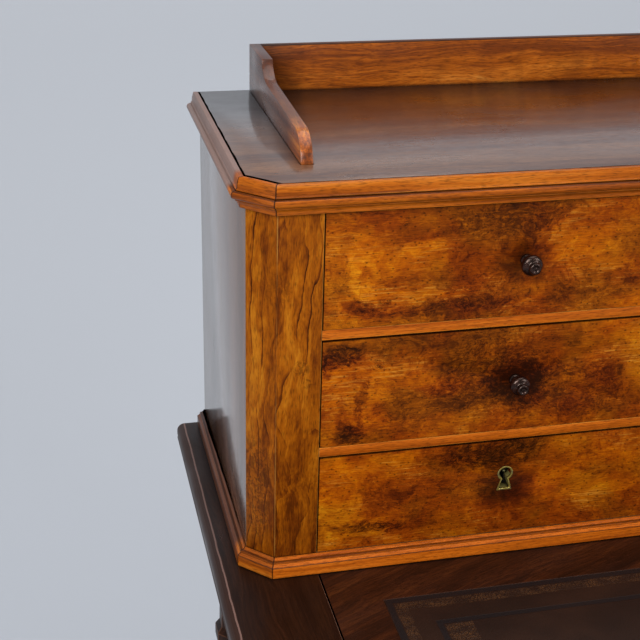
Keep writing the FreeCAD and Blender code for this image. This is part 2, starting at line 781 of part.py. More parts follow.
def drawer(name, width, height, length, thickness, across, back, up, has_lock):
    """One drawer, with its origin at the middle of its front face's lower edge."""
    half = f"({width}) / 2"
    back_low = "groove_height + drawer_bottom"
    back_height = f"({height}) - back_drop - groove_height - drawer_bottom"
    front_tails = tails("front_lap", "front_thickness", "0", height)
    rear_tails = tails(length, f"{length} - {thickness}", back_low, back_height)
    key_height = f"({height}) - key_drop"

    front = new_body(name + "_front")
    face = rectangle(f"-{half}", "0", half, height)
    pad(front, draw(front, name + "_face", "XZ_Plane", [face]), "front_thickness", reverse=True)
    sockets = pocket(front, draw(front, name + "_sockets", "YZ_Plane", front_tails, half), thickness)
    mirror(front, [sockets], "YZ_Plane")
    groove = rectangle(
        "front_thickness - groove_depth",
        "groove_height",
        "front_thickness + overrun",
        "groove_height + drawer_bottom",
    )
    groove_sketch = draw(front, name + "_groove", "YZ_Plane", [groove])
    groove_pocket = pocket(front, groove_sketch, f"{width} - 2 * {thickness} + 2 * groove_depth")
    groove_pocket.SideType = "Symmetric"
    if has_lock:
        recess_low = f"({height}) - lock_height"
        recess = rectangle("-lock_width / 2", recess_low, "lock_width / 2", f"({height}) + overrun")
        recess_sketch = draw(front, name + "_lock_recess", "XZ_Plane", [recess], "-front_thickness")
        pocket(front, recess_sketch, "lock_depth", reverse=True)
        seat_sketch = draw(front, name + "_escutcheon_seat", "XZ_Plane", [keyhole("0", key_height)])
        pocket(front, seat_sketch, "escutcheon_depth")
        pocket(front, draw(front, name + "_keyhole", "XZ_Plane", [keyhole("escutcheon_rim", key_height)]))
    else:
        hole = draw(front, name + "_knob_hole", "XZ_Plane", [])
        add_circle(hole, "0", f"({height}) / 2", "spigot_radius + glue_gap")
        pocket(front, hole)

    box = []
    for side, sign, hand in sides:
        piece = new_body(f"{name}_{side}_board")
        front_edge = [corner for outline in reversed(front_tails) for corner in reversed(outline)]
        rear_edge = [corner for outline in rear_tails for corner in outline]
        shoulder = f"{length} - {thickness}"
        outline = [("front_thickness", "0"), (shoulder, "0")] + rear_edge
        outline += [(shoulder, height), ("front_thickness", height)] + front_edge
        sketch = draw(piece, f"{name}_{side}_outline", "YZ_Plane", [outline], f"{sign}({half})")
        pad(piece, sketch, thickness, reverse=hand < 0)
        inner = f"{half} - {thickness}"
        side_groove = rectangle(
            f"{inner} - overrun",
            "groove_height",
            f"{inner} + groove_depth",
            "groove_height + drawer_bottom",
        )
        if hand > 0:
            side_groove = flipped(side_groove)
        pocket(piece, draw(piece, f"{name}_{side}_groove", "XZ_Plane", [side_groove]))
        box.append(piece)

    rear = new_body(name + "_back_board")
    plan = rectangle(f"-{half}", f"{length} - {thickness}", half, length)
    pad(rear, draw(rear, name + "_back_plan", "XY_Plane", [plan], back_low), back_height)
    rear_sockets = pocket(rear, draw(rear, name + "_back_sockets", "YZ_Plane", rear_tails, half), thickness)
    mirror(rear, [rear_sockets], "YZ_Plane")
    box.append(rear)
    for piece in [front] + box:
        place(piece, across, back, up)

    bottom_reach = f"({half} - {thickness} + groove_depth)"
    bottom_start = "front_thickness - groove_depth"
    box.append(
        board(
            name + "_bottom_board",
            f"2 * {bottom_reach}",
            f"{length} - ({bottom_start})",
            "drawer_bottom",
            f"{across} - {bottom_reach}",
            f"{back} + {bottom_start}",
            f"{up} + groove_height",
        )
    )
    nodes.append(front)
    nodes.append(group(name + "_box", box))


# Turned knob: a plate, a neck, a head with a button, and a spigot that goes through the front.
# Shares are radius and projection, from the drawer face outwards.

knob_shares = [
    (0.98, 0),
    (0.98, 0.11),
    (0.45, 0.11),
    (0.45, 0.48),
    (1, 0.48),
    (1, 0.70),
    (0.52, 0.70),
    (0.52, 1),
]


def knob(name, across, back, up):
    body = new_body(name)
    outline = [("0", "front_thickness"), ("0", "-knob_projection")]
    for radius, out in reversed(knob_shares):
        outline.append((f"knob_radius * {radius}", f"-knob_projection * {out}"))
    outline += [("spigot_radius", "0"), ("spigot_radius", "front_thickness")]
    sketch = draw(body, name + "_profile", "XY_Plane", [outline])
    feature = body.newObject("PartDesign::Revolution", name + "_turning")
    feature.Profile = sketch
    feature.ReferenceAxis = (sketch, ["V_Axis"])
    feature.Angle = 360
    place(body, across, back, up)
    return body


def escutcheon(name, across, back, up):
    """A thread of brass round the keyhole, let in flush."""
    body = new_body(name)
    outlines = [keyhole("0", "0"), keyhole("escutcheon_rim", "0")]
    pad(body, draw(body, name + "_outline", "XZ_Plane", outlines), "escutcheon_depth", reverse=True)
    place(body, across, back, up)
    return body


def lock(name, across, back, up):
    """Lock case in the back of a front, with its keyway and its drawn-in bolt, hung from its upper edge."""
    case = new_body(name + "_case")
    lock_face = "-front_thickness + lock_depth"
    outline = rectangle("-lock_width / 2", "-lock_height", "lock_width / 2", "0")
    pad(case, draw(case, name + "_outline", "XZ_Plane", [outline], "-front_thickness"), "lock_depth")
    key_reach = "(escutcheon_height / 2 - 2 * escutcheon_rim)"
    keyway = rectangle(
        "-keyway_width / 2",
        f"-key_drop - {key_reach}",
        "keyway_width / 2",
        f"-key_drop + {key_reach}",
    )
    pocket(case, draw(case, name + "_keyway", "XZ_Plane", [keyway], lock_face), "lock_depth * keyway_share")
    notch = rectangle("-bolt_width / 2", "-bolt_height", "bolt_width / 2", "overrun")
    pocket(case, draw(case, name + "_notch", "XZ_Plane", [notch], lock_face), "bolt_depth")
    place(case, across, back, up)
    bolt = board(
        name + "_bolt",
        "bolt_width",
        "bolt_depth",
        "bolt_height",
        f"{across} - bolt_width / 2",
        f"{back} + front_thickness - lock_depth",
        f"{up} - bolt_height",
    )
    return [case, bolt]


drawer_width = "bank_width - 2 * drawer_side_gap"
drawer_length = "(inner_depth - drawer_end_gap)"
levels = list(zip(("bottom", "middle", "top"), floors, openings))
for side, sign, hand in sides:
    across = f"{sign}bank_middle"
    for level, floor, opening in levels:
        name = f"{level}_drawer_{side}"
        height = f"{opening} - drawer_top_gap - running_gap"
        up = f"desk_height + {floor} + running_gap"
        seat = (across, "case_front", up)
        lowest = level == "bottom"
        drawer(name, drawer_width, height, drawer_length, "drawer_board", *seat, lowest)
        if lowest:
            edge = f"{up} + ({height})"
            nodes.append(escutcheon(name + "_escutcheon", across, "case_front", f"{edge} - key_drop"))
            nodes.append(group(name + "_lock", lock(name + "_lock", across, "case_front", edge)))
        else:
            nodes.append(knob(name + "_knob", across, "case_front", f"{up} + ({height}) / 2"))

frame_front = "-frame_depth / 2"
frieze_width = "frieze_opening_width - 2 * drawer_side_gap"
frieze_face = "frieze_opening_height - drawer_top_gap - running_gap"
frieze_up = "shaft_height + lower_rail + running_gap"
drawer(
    "frieze_drawer",
    frieze_width,
    frieze_face,
    "frieze_drawer_length",
    "frieze_board",
    "0",
    frame_front,
    frieze_up,
    True,
)
frieze_edge = f"{frieze_up} + {frieze_face}"
nodes.append(escutcheon("frieze_drawer_escutcheon", "0", frame_front, f"{frieze_edge} - key_drop"))
nodes.append(group("frieze_drawer_lock", lock("frieze_drawer_lock", "0", frame_front, frieze_edge)))

# Legs: square heads with mortises over an eight-sided shaft that tapers between its collars.
# Shares are the reach from the axis to the flats, and the height.

leg_shares = [
    (0.46, 0),
    (0.60, 0.012),
    (0.68, 0.038),
    (0.62, 0.064),
    (0.46, 0.082),
    (0.62, 0.088),
    (0.62, 0.102),
    (0.44, 0.112),
    (0.80, 0.800),
    (0.98, 0.812),
    (0.98, 0.836),
    (0.80, 0.848),
    (0.78, 0.912),
    (0.92, 0.932),
    (1, 0.955),
]


def octagon(reach):
    half = f"({reach}) * mitre"
    right = [(reach, f"-{half}"), (reach, half), (half, reach), (f"-{half}", reach)]
    return right + [(f"-({across})", f"-({ahead})") for across, ahead in right]


def leg(name, side_sign, end_sign, canted):
    """A leg about its own axis; outward is side_sign along X and end_sign along Y."""
    body = new_body(name)
    half = "leg_block / 2"

    def plan(corners):
        return [(f"{side_sign}({out})", f"{end_sign}({ahead})") for out, ahead in corners]

    head = [(f"-{half}", f"-{half}"), (half, f"-{half}")]
    if canted:
        head += [(half, f"{half} - cant"), (f"{half} - cant", half)]
    else:
        head += [(half, half)]
    head += [(f"-{half}", half)]
    pad(body, draw(body, name + "_head", "XY_Plane", [plan(head)], "shaft_height"), "frieze_height")
    blank = draw(body, name + "_blank", "XY_Plane", [octagon("leg_reach")])
    pad(body, blank, "shaft_height")
    waste = [(f"leg_reach * {reach}", f"shaft_height * {level}") for reach, level in leg_shares]
    waste += [("leg_reach + overrun", waste[-1][1]), ("leg_reach + overrun", "0")]
    flat = pocket(body, draw(body, name + "_flat", "XZ_Plane", [waste]))
    flats = body.newObject("PartDesign::PolarPattern", name + "_flats")
    flats.Originals = [flat]
    flats.Axis = ([item for item in body.Origin.OriginFeatures if item.Role == "Z_Axis"][0], [""])
    flats.Occurrences = 8
    body.Tip = flats
    mortise_reach = f"-{half} + tenon_length + glue_gap"
    near = f"{half} - apron_place - tenon_thickness / 2"
    far = f"{half} - apron_place + tenon_thickness / 2"
    mortises = [rectangle(near, f"-{half} - overrun", far, mortise_reach)]
    if not canted:
        mortises.append(rectangle(f"-{half} - overrun", near, mortise_reach, far))
    mortise_top = "frame_top - tenon_shoulder"
    mortises = [plan(outline) for outline in mortises]
    sketch = draw(body, name + "_mortises", "XY_Plane", mortises, mortise_top)
    pocket(body, sketch, "frieze_height - 2 * tenon_shoulder")
    if canted:
        rail_mortise = rectangle(
            f"-{half} - overrun",
            f"{half} - rail_tenon_inset - rail_tenon_width",
            f"-{half} + rail_tenon + glue_gap",
            f"{half} - rail_tenon_inset",
        )
        for label, top, height in (
            ("upper", "frame_top", "upper_rail"),
            ("lower", "shaft_height + lower_rail", "lower_rail"),
        ):
            sketch = draw(body, f"{name}_{label}_mortise", "XY_Plane", [plan(rail_mortise)], top)
            pocket(body, sketch, height)
    across = f"{side_sign}(half_width - {half})"
    back = f"{end_sign}(frame_depth / 2 - {half})"
    place(body, across, back, "0")
    nodes.append(body)


for side, sign, hand in sides:
    leg(f"leg_front_{side}", sign, "-", True)
    leg(f"leg_back_{side}", sign, "", False)


def apron(name, span, along_x, across, back):
    """An apron centred on its own origin, with a tenon at each end."""
    body = new_body(name)

    def plan(length, thickness):
        corners = rectangle(f"-({length}) / 2", f"-{thickness} / 2", f"({length}) / 2", f"{thickness} / 2")
        return corners if along_x else [(far, out) for out, far in corners]

    pad(body, draw(body, name + "_plan", "XY_Plane", [plan(span, "apron_thickness")]), "frieze_height")
    tenons = plan(f"{span} + 2 * tenon_length", "tenon_thickness")
    tenon_sketch = draw(body, name + "_tenons", "XY_Plane", [tenons], "tenon_shoulder")
    pad(body, tenon_sketch, "frieze_height - 2 * tenon_shoulder")
    place(body, across, back, "shaft_height")
    nodes.append(body)


for side, sign, hand in sides:
    apron(f"apron_{side}", "frame_depth - 2 * leg_block", False, f"{sign}(half_width - apron_place)", "0")
apron("apron_back", "frieze_opening_width", True, "0", "frame_depth / 2 - apron_place")


def front_rail(name, thickness, up):
    body = new_body(name)
    shoulder = "frieze_opening_width / 2"
    tip = f"{shoulder} + rail_tenon"
    tenon_end = "rail_tenon_inset + rail_tenon_width"
    half = [
        (shoulder, "0"),
        (shoulder, "rail_tenon_inset"),
        (tip, "rail_tenon_inset"),
        (tip, tenon_end),
        (shoulder, tenon_end),
        (shoulder, "leg_block"),
    ]
    plan = half + [(f"-({out})", back) for out, back in reversed(half)]
    pad(body, draw(body, name + "_plan", "XY_Plane", [plan]), thickness)
    place(body, "0", frame_front, up)
    return body


front_rails = [
    front_rail("front_rail_lower", "lower_rail", "shaft_height"),
    front_rail("front_rail_upper", "upper_rail", "frame_top - upper_rail"),
]
nodes.append(group("front_rails", front_rails))

runner_back = f"{frame_front} + leg_block"
runner_depth = "frame_depth - 2 * leg_block"
apron_face = "half_width - apron_setback - apron_thickness"
runner_near = f"{apron_face} - runner_width"
guide_near = "frieze_opening_width / 2"
runner_rows = (
    ("frieze_runner", runner_near, "lower_rail", "shaft_height"),
    ("slide_bearer", runner_near, "upper_rail", "frame_top - upper_rail"),
    ("frieze_guide", guide_near, "guide_height", "shaft_height + lower_rail"),
)
runners = []
for side, sign, hand in sides:
    for label, near, height, up in runner_rows:
        span = (near, apron_face, height, up, runner_depth, runner_back)
        runners.append(strip(f"{label}_{side}", hand, *span))
    stop_name = f"frieze_stop_{side}"
    floor = "shaft_height + lower_rail"
    runners.append(drawer_stop(stop_name, hand, "frieze_opening_width / 4", frame_front, floor))
nodes.append(group("frieze_runners", runners))

# Desk top: two fixed cheeks with a mitred moulded edge, a rear board, and the slide with its leather.

edge_shares = [
    (1, 0, 0.2),
    (0, 0.38),
    (0, 0.60),
    (0.2, 0.62),
    (0.2, 0.67, 0.28),
    (0.2, 0.92),
    (0.3, 1),
]


def edge_outline(inner, thickness):
    """Section of a moulded edge, with its outermost line at zero and its upper face at zero."""
    outline = [(inner, "0")]
    for share in edge_shares:
        outline.append((f"edge_depth * {share[0]}", f"-{thickness} * {share[1]}") + share[2:])
    return outline + [(inner, f"-{thickness}")]


def top_cheek(side, sign, hand):
    """Cheek whose edge is run round the back end, the cant and the front in one mitred sweep."""
    body = new_body(f"top_cheek_{side}")
    route = [
        ("0", "0"),
        ("0", "top_cant - desk_depth"),
        ("top_cant", "-desk_depth"),
        ("cheek_width", "-desk_depth"),
    ]
    half_band = "edge_band / 2"
    core = [
        (half_band, "0"),
        (half_band, f"top_cant - desk_depth + {half_band} * mitre"),
        (f"top_cant + {half_band} * mitre", f"{half_band} - desk_depth"),
        ("cheek_width", f"{half_band} - desk_depth"),
        ("cheek_width", "0"),
    ]
    route = mirrored_if_right(route, hand)
    route_sketch = draw(body, f"cheek_{side}_route", "XY_Plane", [route], closed=False)
    section_outline = mirrored_if_right(edge_outline("edge_band", "desk_top_thickness"), hand)
    section_sketch = draw(body, f"cheek_{side}_section", "XZ_Plane", [section_outline])
    edge = body.newObject("PartDesign::AdditivePipe", f"cheek_{side}_edge")
    edge.Profile = section_sketch
    edge.Spine = (route_sketch, [])
    edge.Transition = "Right corner"
    core_sketch = draw(body, f"cheek_{side}_core", "XY_Plane", [mirrored_if_right(core, hand)])
    pad(body, core_sketch, "desk_top_thickness", reverse=True)
    place(body, f"{sign}(half_width + top_overhang)", "desk_depth / 2", "desk_height")
    nodes.append(body)


for side, sign, hand in sides:
    top_cheek(side, sign, hand)

nodes.append(
    board(
        "top_rear_board",
        "case_width - 2 * post_width",
        "rear_board_width",
        "desk_top_thickness",
        "post_width - half_width",
        "desk_depth / 2 - rear_board_width",
        "desk_height - desk_top_thickness",
    )
)

leather_back = "desk_depth - case_setback - case_depth - base_projection - leather_margin"
leather_half = "(slide_width / 2 - leather_margin)"
leather_outline = rectangle(f"-{leather_half}", "edge_depth + leather_margin", leather_half, leather_back)


def writing_slide():
    """Slide with a moulded front edge, a recess for the leather, and two blocks that stop it."""
    body = new_body("writing_board")
    outline = edge_outline("slide_length", "slide_thickness")
    pad(body, draw(body, "slide_section", "YZ_Plane", [outline]), "slide_width", side="Symmetric")
    pocket(body, draw(body, "leather_recess", "XY_Plane", [leather_outline]), "leather_thickness")
    place(body, "0", "-desk_depth / 2", "desk_height - slide_drop")
    stop_far = "slide_width / 2 - runner_width"
    stop_back = f"{frame_front} + leg_block + slide_travel + running_gap"
    stops = [
        strip(
            f"slide_stop_{side}",
            hand,
            f"{stop_far} - stop_width",
            stop_far,
            "upper_rail - running_gap",
            "frame_top - upper_rail + 2 * running_gap",
            "stop_length",
            stop_back,
        )
        for side, sign, hand in sides
    ]
    nodes.append(group("writing_slide", [body] + stops))


def slide_leather():
    body = new_body("slide_leather")
    outline_sketch = draw(body, "leather_outline", "XY_Plane", [leather_outline])
    pad(body, outline_sketch, "leather_thickness", reverse=True)
    place(body, "0", "-desk_depth / 2", "desk_height - slide_drop")
    nodes.append(body)


writing_slide()
slide_leather()

document.recompute()
failed = [item.Name for item in document.Objects if {"Invalid", "Error"} & set(item.State)]
if failed:
    raise RuntimeError(f"failed objects: {failed}")
for node in nodes:
    if node.Shape.isNull() or not node.Shape.isValid():
        raise RuntimeError(f"{node.Label} has no valid shape")

os.makedirs("parts", exist_ok=True)
for node in nodes:
    node.Shape.exportStep(f"parts/{node.Label}.step")
print(f"{len(nodes)} nodes")
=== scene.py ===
import json
import math
from functools import partial
import bmesh
import bpy
from mathutils import Matrix, Vector


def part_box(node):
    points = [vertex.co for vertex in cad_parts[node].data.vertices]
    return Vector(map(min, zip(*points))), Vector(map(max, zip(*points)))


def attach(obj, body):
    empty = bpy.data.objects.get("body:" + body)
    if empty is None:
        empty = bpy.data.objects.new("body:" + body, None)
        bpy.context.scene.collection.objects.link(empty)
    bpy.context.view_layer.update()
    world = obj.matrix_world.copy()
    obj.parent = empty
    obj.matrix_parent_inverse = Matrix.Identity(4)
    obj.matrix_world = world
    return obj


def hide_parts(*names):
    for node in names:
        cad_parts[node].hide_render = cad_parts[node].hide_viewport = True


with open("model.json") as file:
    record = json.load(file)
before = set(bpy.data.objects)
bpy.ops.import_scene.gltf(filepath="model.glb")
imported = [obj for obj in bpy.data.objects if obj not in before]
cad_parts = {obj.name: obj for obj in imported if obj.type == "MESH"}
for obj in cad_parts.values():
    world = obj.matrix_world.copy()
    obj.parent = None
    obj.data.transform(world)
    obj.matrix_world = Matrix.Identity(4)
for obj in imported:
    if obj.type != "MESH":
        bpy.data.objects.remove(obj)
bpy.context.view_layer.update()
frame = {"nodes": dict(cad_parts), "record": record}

# Legs and frame: solid dark walnut. Eight-sided shafts under square heads, which take the tenons of the
# aprons and of the two rails round the frieze drawer. The arrises are eased by hand and rubbed pale by use.

bodies = frame["record"]["behaviour"]["bodies"]
body_of = {node: body for body, members in bodies.items() for node in members}


def linear(colour):
    """An sRGB hex colour as the linear colour that a shader takes."""
    parts = [int(colour[place:place + 2], 16) / 255 for place in (0, 2, 4)]
    return [part / 12.92 if part <= 0.04045 else ((part + 0.055) / 1.055) ** 2.4 for part in parts] + [1]


def add_node(tree, kind, *inputs, output=None, stops=(), **settings):
    """Add a shader node and give back the output that is named, or else the first that its settings show.
    An input, in order or by its own capitalised name, is a value or another node's output."""
    node = tree.nodes.new("ShaderNode" + kind)
    for name, setting in settings.items():
        if name.islower():
            setattr(node, name, setting)
    given = list(zip([socket for socket in node.inputs if socket.enabled], inputs))
    given += [(node.inputs[name], value) for name, value in settings.items() if not name.islower()]
    for socket, value in given:
        if isinstance(value, bpy.types.NodeSocket):
            tree.links.new(value, socket)
        else:
            socket.default_value = value
    for number, (place, colour) in enumerate(stops):
        elements = node.color_ramp.elements
        stop = elements[number] if number < 2 else elements.new(place)
        stop.position = place
        stop.color = linear(colour)
    return node.outputs[output] if output else next(socket for socket in node.outputs if socket.enabled)


def cells(add, vector, along, across, depth):
    """Coordinates in which a noise has one feature to so many millimetres each way."""
    return add("VectorMath", vector, (1000 / along, 1000 / across, 1000 / depth), operation="MULTIPLY")


def new_finish(name, roughness, gloss=0.5, coat=0.0):
    """A new material, evenly rough and glossy, and the function that adds its nodes."""
    material = bpy.data.materials.new(name)
    material.use_nodes = True
    shader = material.node_tree.nodes["Principled BSDF"]
    even = {"Roughness": roughness, "Specular IOR Level": gloss, "Coat Weight": coat, "Coat Roughness": 0.1}
    for place, value in even.items():
        shader.inputs[place].default_value = value
    return material, partial(add_node, material.node_tree)


def drive(material, place, source):
    """Let a node's output give one of the shader's inputs."""
    shader = material.node_tree.nodes["Principled BSDF"]
    material.node_tree.links.new(source, shader.inputs[place])


def tint(material, share, colour):
    """Mix a colour into a material's own by a share that varies over the piece."""
    tree = material.node_tree
    own = tree.nodes["Principled BSDF"].inputs["Base Color"].links[0].from_socket
    drive(material, "Base Color", add_node(tree, "Mix", share, own, linear(colour), data_type="RGBA"))


def finish_wood(material, height, wear, roughness):
    """Rubbed arrises, painted shade in the corners, uneven polish and open grain over a wood's colour."""
    add = partial(add_node, material.node_tree)
    grain = add("Attribute", attribute_name="grain", output="Vector")
    arris = add("Attribute", attribute_name="arris", output="Fac")
    patches = add("TexNoise", cells(add, grain, 90, 45, 45), Detail=4.0, Scale=1.0)
    rubbed = add("MapRange", patches, 0.36, 0.58, 0.1, 0.9)
    tint(material, add("Math", rubbed, arris, operation="MULTIPLY"), wear)
    ticks = add("TexNoise", cells(add, grain, 7, 0.8, 0.8), Detail=1.0, Scale=1.0)
    tint(material, add("MapRange", ticks, 0.52, 0.72, 0.0, 0.5), "1c0c04")
    # Painted shade: near-black red-brown where ambient occlusion finds corners and recesses.
    painted_shade_ao = add("AmbientOcclusion", Distance=0.005, samples=8, output="AO")
    tint(material, add("MapRange", painted_shade_ao, 0.78, 0.38, 0.0, 0.9), "120804")
    drive(material, "Roughness", add("MapRange", patches, 0.3, 0.7, roughness * 0.75, roughness * 1.4))
    bump = add("Bump", Height=height, Strength=0.5, Distance=0.00012)
    drive(material, "Normal", bump)
    drive(material, "Coat Normal", bump)


def walnut(name, tones, band, wear, figure=1.0, roughness=0.32, gloss=0.3, coat=0.0):
    """Straight-grained walnut: wandering bands so many mm wide, fine streaks and short dark pores."""
    material, add = new_finish(name, roughness, gloss, coat)
    grain = add("Attribute", attribute_name="grain", output="Vector")
    wander = add("TexNoise", cells(add, grain, 180, 60, 60), Scale=1.0, output="Color")
    sway = (0, band * 0.0012, band * 0.0012)
    bent = add("VectorMath", wander, sway, grain, operation="MULTIPLY_ADD")
    bands = add("TexNoise", cells(add, bent, 700, band, band), Detail=3.0, Scale=1.0)
    streaks = add("TexNoise", cells(add, bent, 120, 2.2, 2.2), Detail=3.0, Scale=1.0)
    tone = add("Math", streaks, 0.5, bands, operation="MULTIPLY_ADD")
    tone = add("MapRange", tone, 0.55, 0.95, 0.5 - 0.2 * figure, 0.5 + 0.2 * figure)
    stops = list(zip((0.32, 0.45, 0.55, 0.68), tones))
    drive(material, "Base Color", add("ValToRGB", tone, stops=stops))
    pores = add("TexNoise", cells(add, bent, 14, 0.9, 0.9), Detail=1.0, Scale=1.0)
    pores = add("MapRange", pores, 0.54, 0.68, 0.0, 0.7 * figure)
    tint(material, pores, tones[0])
    finish_wood(material, add("Math", streaks, pores, operation="SUBTRACT"), wear, roughness)
    return material


def lay_grain(mesh, middle, board, other_grain=None):
    """Store each corner's place in its own board, whose grain runs along its longest edge, and each point's
    place from the middle. Where a second board begins, other_grain gives its direction, or else None."""
    form = bmesh.new()
    form.from_mesh(mesh)
    form.verts.ensure_lookup_table()
    part_of = {}
    for start in form.verts:
        if start.index in part_of:
            continue
        part = len(set(part_of.values()))
        part_of[start.index] = part
        waiting = [start]
        while waiting:
            vert = waiting.pop()
            for edge in vert.link_edges:
                other = edge.other_vert(vert)
                if other.index not in part_of:
                    part_of[other.index] = part
                    waiting.append(other)
    runs = {}
    for edge in form.edges:
        part = part_of[edge.verts[0].index]
        run = edge.verts[1].co - edge.verts[0].co
        if part not in runs or run.length > runs[part].length + 1e-6:
            runs[part] = run
    form.free()
    grain = mesh.attributes.new("grain", "FLOAT_VECTOR", "CORNER")
    seat = mesh.attributes.new("seat", "FLOAT_VECTOR", "POINT")
    for point in mesh.vertices:
        seat.data[point.index].vector = point.co - middle
    for face in mesh.polygons:
        part = part_of[face.vertices[0]]
        other = other_grain(face.center) if other_grain else None
        along = other or runs[part].normalized()
        shift = board + part * 0.37 + (0.19 if other else 0)
        along = along * (1 if max(along, key=abs) > 0 else -1)
        up = Vector((1, 0, 0)) if abs(along.z) > 0.9 else Vector((0, 0, 1))
        across = (up - along * up.dot(along)).normalized()
        axes = Matrix((along, across, along.cross(across)))
        for corner in face.loop_indices:
            point = mesh.vertices[mesh.loops[corner].vertex_index].co
            grain.data[corner].vector = axes @ point + Vector((1.7, 0.9, 0.6)) * shift


def worked(node, material, board=0.0, arris=0.0006, other_grain=None):
    """A copy of a piece of the frame with its outer arrises eased, which stands for the piece."""
    mesh = frame["nodes"][node].data.copy()
    piece = bpy.data.objects.new(node + "_finished", mesh)
    bpy.context.collection.objects.link(piece)
    bpy.ops.object.select_all(action="DESELECT")
    bpy.context.view_layer.objects.active = piece
    piece.select_set(True)
    bpy.ops.mesh.customdata_custom_splitnormals_clear()
    bpy.ops.object.mode_set(mode="EDIT")
    bpy.ops.mesh.select_all(action="SELECT")
    bpy.ops.mesh.remove_doubles(threshold=0.00001)
    bpy.ops.mesh.dissolve_limited(angle_limit=math.radians(0.5))
    bpy.ops.object.mode_set(mode="OBJECT")
    form = bmesh.new()
    form.from_mesh(mesh)
    eased = form.edges.layers.float.new("bevel_weight_edge")
    for edge in form.edges:
        turned = len(edge.link_faces) == 2 and edge.calc_face_angle_signed() > math.radians(28)
        edge[eased] = 1.0 if turned else 0.0
    form.to_mesh(mesh)
    form.free()
    mesh.materials.clear()
    for place in range(2):
        mesh.materials.append(material)
    bevel = piece.modifiers.new("eased", "BEVEL")
    bevel.limit_method = "WEIGHT"
    bevel.width = arris
    bevel.segments = 2
    bevel.material = 1
    bpy.ops.object.modifier_apply(modifier=bevel.name)
    bpy.ops.object.shade_smooth_by_angle(angle=math.radians(24))
    rub = mesh.attributes.new("arris", "FLOAT", "FACE")
    for face in mesh.polygons:
        rub.data[face.index].value = face.material_index
        face.material_index = 0
    mesh.materials.pop()
    low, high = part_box(node)
    lay_grain(mesh, (low + high) / 2, board, other_grain)
    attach(piece, body_of[node])
    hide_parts(node)
    return piece


# French-polished walnut, darkened by age: the eye sees near-black red-brown with a faint straight grain.
desk_tones = ("120804", "1d0d07", "28140a", "381d10")
desk_walnut = walnut("french_polished_dark_walnut", desk_tones, 28, "6e452e", 1.0, 0.38, 0.15)
frame_pieces = [f"leg_{end}_{side}" for end in ("front", "back") for side in ("left", "right")]
frame_pieces += ["apron_left", "apron_right", "apron_back", "front_rails"]
for number, node in enumerate(frame_pieces):
    worked(node, desk_walnut, board=number + 1.0, arris=0.0008)

# Hidden boards: the frieze drawer's runners, and the guides, dust boards, bottom, partition and back of the
# upper case. They are plain pine, glued in where nobody looks and left from the plane without polish.


def plain_wood(name, tones, width, roughness=0.7):
    """Unpolished softwood or oak, with soft bands so many mm wide, fine fibres and a little grime."""
    material, add = new_finish(name, roughness, 0.3)
    place = add("Attribute", output="Vector", attribute_name="grain")
    wander = add("TexNoise", cells(add, place, 120, 120, 120), Scale=1.0, output="Color")
    bent = add("VectorMath", wander, (0.01, 0.01, 0.01), place, operation="MULTIPLY_ADD")
    bands = add("TexNoise", cells(add, bent, 600, width, width), Detail=3.0, Scale=1.0)
    fibres = add("TexNoise", cells(add, bent, 30, 1.0, 1.0), Detail=3.0, Scale=1.0)
    grime = add("TexNoise", cells(add, place, 120, 60, 60), Detail=5.0, Scale=1.0)
    tone = add("Math", fibres, 0.45, bands, operation="MULTIPLY_ADD")
    tone = add("Math", grime, 0.4, tone, operation="MULTIPLY_ADD")
    tone = add("Math", tone, 0.425, operation="SUBTRACT")
    drive(material, "Base Color", add("ValToRGB", tone, stops=list(zip((0.36, 0.5, 0.64), tones))))
    drive(material, "Normal", add("Bump", Height=fibres, Strength=0.5, Distance=0.0002))
    return material


# Old pine, browned by a century of air: dull, with soft bands.
old_pine = plain_wood("unpolished_old_pine", ("5c4126", "6d4d2d", "7d5a37"), 9)
pine_pieces = ("frieze_runners", "drawer_guides", "dust_boards", "upper_bottom")
pine_pieces += ("centre_partition", "upper_back")
for number, node in enumerate(pine_pieces):
    worked(node, old_pine, board=number + 16.0, arris=0.0005)

# Desk top: two fixed cheeks with a moulded edge run round the cant, and a board behind the slide.
# The same dark walnut as the frame, planed to one level and polished after it was put together.


def past_edge(add, end, front, cant):
    """How far a place lies out past a board's outline: its end, its front or the 45 degree cant between.
    The cant runs where the distances aside and forward from the desk's middle add up to so much."""
    place = add("TexCoord", output="Object")
    aside = add("Math", add("SeparateXYZ", place, output="X"), operation="ABSOLUTE")
    forward = add("VectorMath", place, (0.0, -1.0, 0.0), operation="DOT_PRODUCT")
    past = add("Math", aside, forward, operation="ADD")
    past = add("Math", past, cant, operation="SUBTRACT")
    past = add("Math", past, math.sqrt(0.5), operation="MULTIPLY")
    for way, line in ((aside, end), (forward, front)):
        past = add("Math", past, add("Math", way, line, operation="SUBTRACT"), operation="MAXIMUM")
    return past


edge_walnut = walnut("french_polished_edge_walnut", desk_tones, 28, "7a5848", 0.7, 0.36, 0.15)
# Along the moulded edge a paler band is painted: a painted reflection of the pale wall. On its inner side a
# thin pale line is a painted highlight.
add = partial(add_node, edge_walnut.node_tree)
cheek_low, cheek_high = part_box("top_cheek_right")
cheek_cant = 0.76125
painted_sheen_width = 0.0065
line_half_width = 0.0008
past = past_edge(add, cheek_high.x, -cheek_low.y, cheek_cant)
ragged = add("TexNoise", cells(add, add("TexCoord", output="Object"), 40, 40, 40), Scale=1.0, Detail=5.0)
past = add("Math", ragged, 0.003, past, operation="MULTIPLY_ADD")
# Painted reflection: the paler band along the moulded edge.
tint(edge_walnut, add("MapRange", past, -painted_sheen_width - 0.0025, -painted_sheen_width, 0.0, 0.45), "432a20")
# Painted highlight: a thin pale line at the band's inner side.
line = add("Math", past, -painted_sheen_width, line_half_width, operation="COMPARE")
tint(edge_walnut, add("Math", line, 0.6, operation="MULTIPLY"), "8f6f65")
for number, node in enumerate(("top_cheek_left", "top_cheek_right", "top_rear_board")):
    worked(node, edge_walnut if "cheek" in node else desk_walnut, board=number + 11.0, arris=0.0005)

